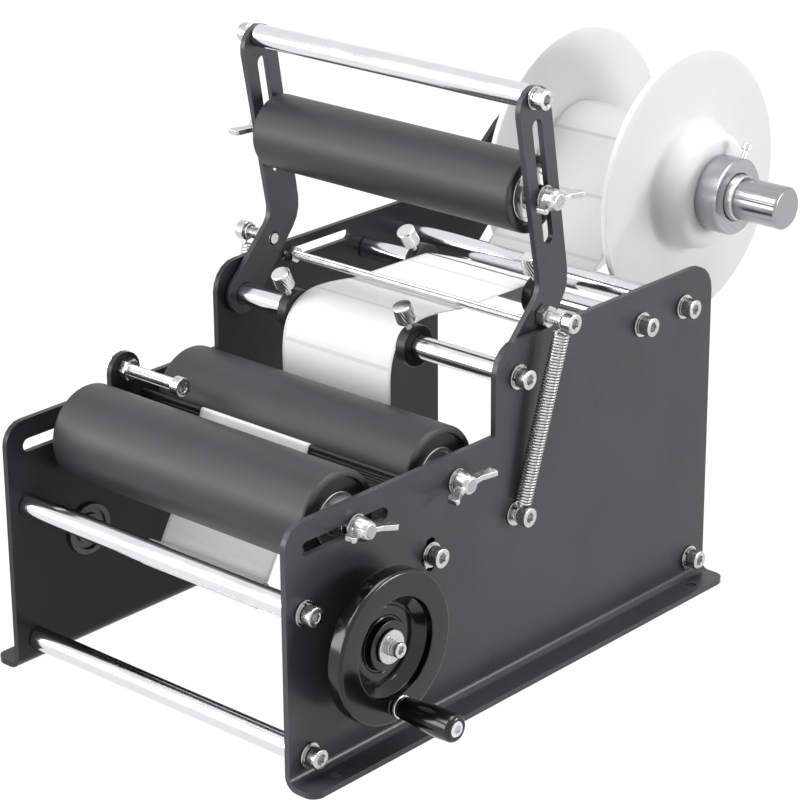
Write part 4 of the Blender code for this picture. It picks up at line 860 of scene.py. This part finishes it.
def drive_train():
    y, z = axis_of("drive_shaft")
    low, high = span_of("drive_shaft")
    seat = 130.7
    shaft = [(high, 0), (high, 5.6), (high - 0.4, 6), (seat, 6), (seat, 7.2), (seat - 0.3, 7.5), (low + 0.5, 7.5),
             (low, 7.0), (low, 0)]
    turned("drive_shaft_ground", shaft, STEEL, "crank", "drive_shaft", 64)
    for side, word in SIDES:
        node = word + "_drive_bearing"
        outline = [(OUTER, 7.8), (OUTER, 11.2), (OUTER - 0.5, 11.5), (OUTER - 0.5, 13.3), (OUTER, 13.6),
                   (OUTER, 14.8), (OUTER - 0.3, 15), (HALF - 0.3, 15), (HALF - 0.3, 17.2), (HALF - 0.7, 17.5),
                   (HALF - 2.4, 17.5), (HALF - 2.8, 17.1), (HALF - 2.8, 14.2), (HALF - 2.4, 13.8),
                   (HALF - 0.9, 13.6), (HALF - 0.9, 10.8), (HALF - 2.4, 10.6), (HALF - 2.8, 10.2), (HALF - 2.8, 7.8)]
        put(node + "_rings", lathed(outline, 72, node, 24, True), DARK_ALLOY, "frame", sided(side, spot(y, z)),
            [node])
    face = 152.2
    back = 139.7
    wheel = [
        (face - 6, 6.3), (face - 6, 15.4), (face - 6.2, 16.0), (face - 6.8, 16.3), (face - 10.8, 16.7),
        (face - 11, 17.0), (face - 11, 18.0), (face - 10.5, 18.4), (face - 10.2, 19), (face - 10.2, 23.8),
        (face - 10.5, 24.5), (face - 11, 24.8), (face - 11, 26.2), (face - 10.4, 26.8), (face - 9.1, 27.5),
        (face - 5.0, 32.2), (face - 4.2, 32.6), (face - 0.9, 32.7), (face - 0.25, 33.0), (face, 33.8), (face, 46.9),
        (face - 0.25, 48.1), (face - 0.9, 48.9), (face - 2.0, 49.25), (face - 3.2, 49.3), (back + 2.6, 49.3),
        (back + 1.4, 49.1), (back + 0.4, 48.3), (back, 47.0), (back, 17), (back - 1.5, 14.2), (131.4, 13),
        (131, 12.6), (131, 6.3),
    ]
    grip_y, grip_z = axis_of("grip")
    cutter = to_mesh(lathe([(face + 2, 0), (face + 2, 3.4), (back - 2, 3.4), (back - 2, 0)], 32), "hole")
    cutter.transform(Matrix.Translation((0, (grip_y - y) * MM, (grip_z - z) * MM)))
    mesh = carved(to_mesh(lathe(wheel, 160, closed=True), "wheel"), [cutter])
    put("handwheel_moulding", smooth(mesh, 42), BLACK, "crank", spot(y, z), ["handwheel"])
    washer = [(high + 2.6, 2.9), (high + 2.6, 10.6), (high + 2.2, 11), (high + 1.0, 11), (high + 0.6, 10.6),
              (high + 0.6, 2.9)]
    zinc("handwheel_washer", lathed(washer, 72, "washer", 30, True), "crank", spot(y, z))
    collar = [(high + 4.2, 2.9), (high + 4.2, 5.0), (high + 3.9, 5.3), (high + 2.7, 5.3), (high + 2.6, 2.9)]
    zinc("handwheel_spring_washer", lathed(collar, 48, "collar", 30, True), "crank", spot(y, z))
    zinc("handwheel_screw", screw_mesh(3, 5, 5.6, 9, 4.6, 64), "crank", spot(y, z, high + 4.25))
    zinc("drive_shaft_left_washer", ring_mesh(0.3, 2.2, 9, 2.9), "crank", sided(-1, spot(y, z, low)))
    zinc("drive_shaft_left_screw", screw_mesh(2.5, 4.2, 4.4, 9, 4, 64), "crank", sided(-1, spot(y, z, low - 2.3)))


def grip():
    start, end = span_of("grip")
    stud_low, stud_high = span_of("grip_stud")
    length = end - start
    barrel = [(end - 3.3, 3.3), (end - 3.3, 5.5), (end, 5.5), (end, 6.6)]
    barrel += [(end - 3.2 + 3.2 * math.cos(turn), 6.3 + 2.75 * math.sin(turn)) for turn in sweep(15, 91, 15)]
    for step in range(14):
        share = 1 - step / 13
        swell = math.sin(share * math.pi / 2) ** 1.6
        barrel.append((start + 1 + (length - 11) * share, 7.0 + 2.35 * swell))
    barrel += [(start + 0.4, 6.8), (start, 6.3), (start, 3.3)]
    turned("grip_barrel", barrel, BLACK, "crank_grip", "grip", 96, closed=True)
    y, z = axis_of("grip")
    base = [
        (start - 0.3, 3), (start - 0.3, 6.9), (start - 0.6, 7.4), (start - 1.2, 7.6), (start - 2.0, 7.6),
        (start - 2.5, 7.2), (start - 2.8, 6.8), (start - 2.8, 3), (stud_low, 3), (stud_low, 0),
    ]
    head = [(stud_high, 0), (stud_high, 4.6), (stud_high - 0.5, 5.2), (end - 3, 5.2), (end - 3, 3)]
    socket = to_mesh(prism(polygon(3.1, 6, 0.2), stud_high - 2.4, stud_high + 1), "socket")
    mesh = carved(to_mesh(lathe(head + base, 72), "stud"), [socket])
    put("grip_stud_turned", smooth(mesh, 32), CHROME, "crank", spot(y, z), ["grip_stud"])


drive_train()
grip()


# ---- spindle, discs and roll

SPINDLE = axis_of("spindle_shaft")
TURNED = turned_steel(spot(*SPINDLE))
DISC_R = 97
HUB_DEPTH = 12
ROLL_BORE = 41.0


def disc(node, inner_x, side, body):
    """A frosted disc with a hub inside the roll's core and a smooth boss outside."""
    def out(distance):
        return inner_x + side * distance
    profile = [(out(27), 15.3), (out(27), 31.0), (out(26.8), 32.0)]
    profile += [(out(18 + 8.6 * math.sin(turn)), 34.0 + 8.0 * math.cos(turn)) for turn in sweep(80, -1, -10)]
    profile.append((out(14), 42.9))
    profile += [(out(13.2 - 8.2 * math.sin(turn)), 50.4 - 7.2 * math.cos(turn)) for turn in sweep(0, 91, 10)]
    profile += [(out(5), 95.6), (out(4.6), 96.6), (out(3.8), DISC_R), (out(1.2), DISC_R), (out(0.4), 96.6),
                (out(0), 95.6),
                (out(0), 38.6), (out(-0.4), 37.9), (out(0.5 - HUB_DEPTH), 37.6), (out(-HUB_DEPTH), 37.1),
                (out(-HUB_DEPTH), 15.3)]
    turned(node + "_moulding", profile, FROSTED, body, node, 160, closed=True)


def spindle():
    low, high = span_of("spindle_shaft")
    near_inner = span_of("near_disc")[0] + HUB_DEPTH
    far_inner = span_of("far_disc")[1] - HUB_DEPTH
    shaft = [(high, 0), (high, 13.3), (high - 0.3, 13.8), (high - 1.5, 15), (-107.2, 15), (-107.2, 10), (low, 10),
             (low, 0)]
    turned("spindle_shaft_ground", shaft, GROUND, "spindle", "spindle_shaft", 96)
    disc("near_disc", near_inner, 1, "near_flange")
    disc("far_disc", far_inner, -1, "spindle")
    for node, body, step in (("near_collar", "near_flange", -1), ("far_collar", "spindle", 1)):
        face, back = span_of(node)[::step]
        profile = [
            (face + step * 4, 15.3), (face + step * 4, 17.1), (face + step * 0.3, 17.1), (face, 17.4),
            (face, 26.1), (face + step * 0.25, 26.4), (face + step * 0.9, 26.4), (face + step * 1.1, 27),
            (back - step * 0.8, 27), (back, 26.3), (back, 15.3),
        ]
        turned(node + "_turned", profile, TURNED, body, node, 128, closed=True, bevel=0.12)
        sleeve = [
            (face + step * 3.8, 15.2), (face + step * 3.8, 16.3), (face - step * 4.2, 16.3), (face - step * 5.8, 15.4),
            (face - step * 5.8, 15.2),
        ]
        put(node + "_sleeve", lathed(sleeve, 96, "sleeve", 30, True), SATIN, body, spot(*SPINDLE))
        upright = Matrix.Rotation(math.radians(-27), 4, "X") @ Matrix.Rotation(-math.pi / 2, 4, "Y")
        base = Matrix.Translation(spot(*SPINDLE, face + step * 5.2)) @ upright
        put(node + "_set_screw", screw_mesh(1.9, 3.8, 4.6, 15, 3, 48), THREAD, body, base @ slid(33.2))
    housing = [(-107.5, 10.3), (-107.5, 20.8), (-108.2, 21.7), (-109, 22), (-119.3, 22), (-119.7, 21.6),
               (-119.7, 10.3)]
    turned("spindle_bearing_turned", housing, STEEL, "frame", "spindle_bearing", 96, closed=True, bevel=0.15)
    base = sided(-1, spot(*SPINDLE, low))
    zinc("spindle_end_washer", ring_mesh(0.3, 2.3, 14, 4.3), "spindle", base)
    zinc("spindle_end_screw", M8_SCREW, "spindle", base @ slid(2.6))
    label_roll()


def label_roll():
    low, high = span_of("label_roll")
    radius = radius_of("label_roll")
    steps = 180
    work = bmesh.new()
    uv = work.loops.layers.uv.new("UVMap")
    rings = []
    for x, r in ((low, ROLL_BORE), (low, radius), (high, radius), (high, ROLL_BORE)):
        rings.append([work.verts.new((x * MM, r * MM * math.cos(2 * math.pi * i / steps),
                                      r * MM * math.sin(2 * math.pi * i / steps))) for i in range(steps)])
    for band in range(3):
        for index in range(steps):
            after = (index + 1) % steps
            face = work.faces.new((rings[band][index], rings[band][after], rings[band + 1][after],
                                   rings[band + 1][index]))
            face.material_index = 0 if band == 1 else 1
            for loop in face.loops:
                turn = index if loop.vert in (rings[band][index], rings[band + 1][index]) else index + 1
                across = 0.0 if loop.vert in rings[band] else WEB_WIDTH * MM
                loop[uv].uv = (across, 2 * math.pi * radius * MM * turn / steps)
    bmesh.ops.recalc_face_normals(work, faces=work.faces)
    mesh = smooth(to_mesh(work, "roll"), 40)
    # The roll's paper is darkened by the painted shade tone.
    mesh.materials.append(paper("roll_paper_painted_shade_look", 0.03, PAINTED_SHADE_TONE))
    mesh.materials.append(wound_edge(spot(*SPINDLE)))
    put("label_roll_paper", mesh, None, "spindle", spot(*SPINDLE), ["label_roll"])
    core = [(high, 38.2), (high, 40.9), (low, 40.9), (low, 38.2)]
    put("label_roll_core", lathed(core, 96, "core", 30, True), CARD, "spindle", spot(*SPINDLE))


spindle()


# ---- label web

WEB_CLEAR = 0.5
WEB_T = 0.22
WEB_COLUMNS = 6
BLADE_T = 3.2
NOSE_CLIMB = 11.4
LINER_R = 8.5


def arc(centre, radius, start_deg, end_deg, step_deg=6):
    count = max(2, math.ceil(abs(end_deg - start_deg) / step_deg))
    angles = [math.radians(start_deg + (end_deg - start_deg) * index / count) for index in range(count + 1)]
    return [(centre[0] + radius * math.cos(angle), centre[1] + radius * math.sin(angle)) for angle in angles]


def crossing_tangent(first, first_r, second, second_r, side):
    away = Vector(second) - Vector(first)
    heading = math.degrees(math.atan2(away.y, away.x))
    offset = math.degrees(math.acos((first_r + second_r) / away.length))
    return heading - side * offset, heading - side * offset + 180


def bezier(start, start_pull, end_pull, end, count):
    points = []
    for index in range(1, count):
        t = index / count
        s = 1 - t
        points.append(tuple(s ** 3 * a + 3 * s * s * t * b + 3 * s * t * t * c + t ** 3 * d
                            for a, b, c, d in zip(start, start_pull, end_pull, end)))
    return points


def divided(points, longest=6.0):
    """The same line with no stretch longer than the given length."""
    result = [points[0]]
    for before, after in zip(points, points[1:]):
        gap = math.dist(before, after)
        count = max(1, math.ceil(gap / longest))
        for index in range(1, count + 1):
            share = index / count
            result.append(tuple(a + (b - a) * share for a, b in zip(before, after)))
    return result


def web_route():
    """The web's (y, z) points, from the roll to the drive shaft."""
    rod = radius_of("guide_rod_1") + WEB_CLEAR
    rod_1, rod_2, rod_3 = axis_of("guide_rod_1"), axis_of("guide_rod_2"), axis_of("guide_rod_3")
    roll = radius_of("label_roll") + WEB_CLEAR
    off_roll, on_3 = crossing_tangent(SPINDLE, roll, rod_3, rod, 1)
    off_3, on_2 = crossing_tangent(rod_3, rod, rod_2, rod, -1)
    points = arc(SPINDLE, roll, off_roll - 4, off_roll)
    points += arc(rod_3, rod, on_3, off_3 - (360 if off_3 > on_3 else 0))
    points += arc(rod_2, rod, on_2, 90)
    # slack: a soft bend over guide rod 1, passing under the stop rod
    under = axis_of("stop_rod")[0], rod_1[1] + rod + 1.5
    down = rod_1[0] - 18, rod_1[1] - 25
    points += [under] + bezier(under, (under[0] - 34, under[1] + 5.2), (down[0], down[1] + 46), down, 30) + [down]
    # a loop down and up to the second roller, clear of the peel plate at its highest
    second = axis_of("second_roller")
    behind = radius_of("second_roller") + WEB_CLEAR
    peel_y = (PEEL_LOW.y - FRONT_Y) / MM
    blade_rear = peel_y + BLADE_T + WEB_CLEAR
    wrap_end = 180 + math.degrees(math.acos(min(1, (second[0] - blade_rear) / behind)))
    wrap = arc(second, behind, 255, wrap_end)
    points += bezier(down, (down[0], down[1] - 105), (wrap[0][0] + 48.3, wrap[0][1] - 12.9), wrap[0], 30) + wrap
    # over the nose, then down to the drive shaft with a sag that leaves room for the front roller
    nose = (peel_y + BLADE_T / 2, PEEL_HIGH.z / MM - BLADE_T / 2)
    nose_r = BLADE_T / 2 + WEB_CLEAR
    drive = axis_of("drive_shaft")
    spool = LINER_R + 0.2
    away = Vector(drive) - Vector(nose)
    heading = math.degrees(math.atan2(away.y, away.x))
    leave = heading - math.degrees(math.acos((nose_r + spool) / away.length))
    points += arc(nose, nose_r, 0, leave % 360, 15)
    on_spool = arc(drive, spool, leave + 180, leave + 240)
    start, end = Vector(points[-1]), Vector(on_spool[0])
    third = (end - start) / 3
    slack = Vector((-third.y, third.x)).normalized()
    points += bezier(start, start + third + slack * 6, end - third + slack * 2, end, 16) + on_spool
    return divided(points)


WEB_PAPER = paper("web_paper_look", 0.0)
# A darker copy of the web's paper: painted shade for the web near the roll.
PAINTED_SHADE_PAPER = paper("painted_shade_paper_look", 0.0, PAINTED_SHADE_TONE)


def web_strip(name, route, along):
    """One stretch of the web as a thin solid, with the label pattern going on from the stretch before it."""
    low = span_of("label_web")[0]
    roll_low = span_of("label_roll")[0]
    drift_start = axis_of("guide_rod_2")[0] + 14
    drift_end = SPINDLE[0] - DISC_R + 4
    painted_shade_from = spot(axis_of("guide_rod_3")[0] + 3, 0).y
    work = bmesh.new()
    uv = work.loops.layers.uv.new("UVMap")
    rows = []
    before = route[0]
    for y, z in route:
        along += math.dist(before, (y, z)) * MM
        before = (y, z)
        shift = max(0.0, min(1.0, (y - drift_start) / (drift_end - drift_start))) * (roll_low - low)
        row = []
        for column in range(WEB_COLUMNS + 1):
            across = WEB_WIDTH * column / WEB_COLUMNS
            row.append((work.verts.new(spot(y, z, low + shift + across)), across * MM, along))
        rows.append(row)
    for first, second in zip(rows, rows[1:]):
        for column in range(WEB_COLUMNS):
            corners = (first[column], first[column + 1], second[column + 1], second[column])
            face = work.faces.new([c[0] for c in corners])
            # Behind guide rod 3 the web takes the darker paper: painted shade near the roll.
            face.material_index = 1 if face.calc_center_median().y > painted_shade_from else 0
            for loop, corner in zip(face.loops, corners):
                loop[uv].uv = (corner[1], corner[2])
    mesh = baked(to_mesh(work, name), ("SOLIDIFY", {"thickness": WEB_T * MM, "offset": 0.0}))
    mesh.shade_smooth()
    mesh.set_sharp_from_angle(angle=math.radians(50))
    mesh.materials.append(WEB_PAPER)
    mesh.materials.append(PAINTED_SHADE_PAPER)
    made = added(name, mesh)
    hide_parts("label_web")
    return made, along


def label_web():
    """The web in three stretches, parted where it climbs to the peel plate's nose and at the nose's top; only the rear
    stretch rides on a body, the frame.
    """
    low, high = span_of("label_web")
    route = web_route()
    top = max((index for index, point in enumerate(route) if point[0] < PEEL_SCREW[0]),
              key=lambda index: route[index][1])
    nose_z = PEEL_HIGH.z / MM - BLADE_T / 2
    climb = max(index for index in range(top) if route[index][1] < nose_z - NOSE_CLIMB)
    rear, along = web_strip("label_web_paper", route[:climb + 1], 0.0)
    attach(rear, "frame")
    nose, along = web_strip("label_web_nose", route[climb:top + 1], along)
    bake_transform(nose)
    run, _ = web_strip("label_web_run", route[top:], along)
    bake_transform(run)
    wound = [(high, 7.6), (high, LINER_R - 0.2), (high - 0.2, LINER_R), (low + 0.2, LINER_R), (low, LINER_R - 0.2),
             (low, 7.6)]
    liner = lathed(wound, 64, "liner", 40, True)
    place = spot(*axis_of("drive_shaft"))
    put("wound_liner", liner, wound_edge(place), "crank", place)


label_web()


# ---- floor, light and camera


def seen(tree):
    """1 for a ray from the camera, a mirror or clear material, and 0 for the light that falls on the object."""
    path = tree.nodes.new("ShaderNodeLightPath")
    share = path.outputs["Is Camera Ray"]
    for ray in ("Is Glossy Ray", "Is Transmission Ray"):
        either = tree.nodes.new("ShaderNodeMath")
        either.operation = "MAXIMUM"
        tree.links.new(share, either.inputs[0])
        tree.links.new(path.outputs[ray], either.inputs[1])
        share = either.outputs[0]
    return share


def plain(tree, kind, level, strength=None):
    node = tree.nodes.new(kind)
    node.inputs["Color"].default_value = (level, level, level, 1)
    if strength is not None:
        node.inputs["Strength"].default_value = strength
    return node.outputs[0]


def to_output(tree, kind, factor, first, second):
    """Mix two shaders into the output of a tree."""
    mix = tree.nodes.new("ShaderNodeMixShader")
    for socket, source in zip(mix.inputs, (factor, first, second)):
        tree.links.new(source, socket)
    tree.links.new(mix.outputs[0], tree.nodes.new(kind).inputs["Surface"])


def floor():
    """A pale floor with a light shadow of the object: most of what the camera sees of it is plain white."""
    bpy.ops.mesh.primitive_plane_add(size=8, location=(0, 0, -0.0005))
    plane = bpy.context.object
    plane.name = "floor"
    made = bpy.data.materials.new("floor_look")
    made.use_nodes = True
    tree = made.node_tree
    tree.nodes.clear()
    share = tree.nodes.new("ShaderNodeMath")
    share.operation = "MULTIPLY"
    share.inputs[1].default_value = 0.86
    tree.links.new(seen(tree), share.inputs[0])
    to_output(tree, "ShaderNodeOutputMaterial", share.outputs[0], plain(tree, "ShaderNodeBsdfDiffuse", 0.6),
             plain(tree, "ShaderNodeEmission", 1, 1.14))
    plane.data.materials.append(made)
    plane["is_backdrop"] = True


def world():
    """Soft light from all round, and a white backdrop."""
    made = bpy.data.worlds.new("studio")
    bpy.context.scene.world = made
    made.use_nodes = True
    tree = made.node_tree
    tree.nodes.clear()
    to_output(tree, "ShaderNodeOutputWorld", seen(tree), plain(tree, "ShaderNodeBackground", 1, 0.2),
             plain(tree, "ShaderNodeBackground", 1, 1.0))


def soft_light(name, place, target, size, power):
    data = bpy.data.lights.new(name, "AREA")
    data.shape = "RECTANGLE"
    data.size, data.size_y = size
    data.energy = power
    lamp = added(name, data)
    lamp.location = place
    lamp.rotation_euler = (Vector(target) - Vector(place)).to_track_quat("-Z", "Y").to_euler()


def camera():
    """The photograph's camera, fitted to the machine."""
    azimuth, elevation, roll = (math.radians(angle) for angle in (42.01, 21.45, -0.41))
    data = bpy.data.cameras.new("camera")
    data.lens = 132.0
    data.sensor_width = 36.0
    data.sensor_fit = "HORIZONTAL"
    data.clip_start = 0.05
    data.clip_end = 30
    made = added("camera", data)
    made.matrix_world = (Matrix.Translation(spot(-1107, 861, 1212)) @ Matrix.Rotation(azimuth, 4, "Z")
                         @ Matrix.Rotation(math.pi / 2 - elevation, 4, "X") @ Matrix.Rotation(roll, 4, "Z"))
    bpy.context.scene.camera = made


floor()
world()
soft_light("key", (0.2, 0.2, 2.0), (0, 0.05, 0.2), (1.4, 1.4), 32)
soft_light("front", (-1.2, -1.9, 0.6), (0, -0.1, 0.15), (1.8, 0.9), 31)
soft_light("fill", (-0.7, -1.3, 1.6), (0, 0, 0.15), (0.9, 0.9), 16)
soft_light("side", (1.9, 1.15, 0.3), (0.1, 0.1, 0.2), (0.6, 0.6), 20)
camera()
bpy.context.scene.view_settings.view_transform = "Standard"

low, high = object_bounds()
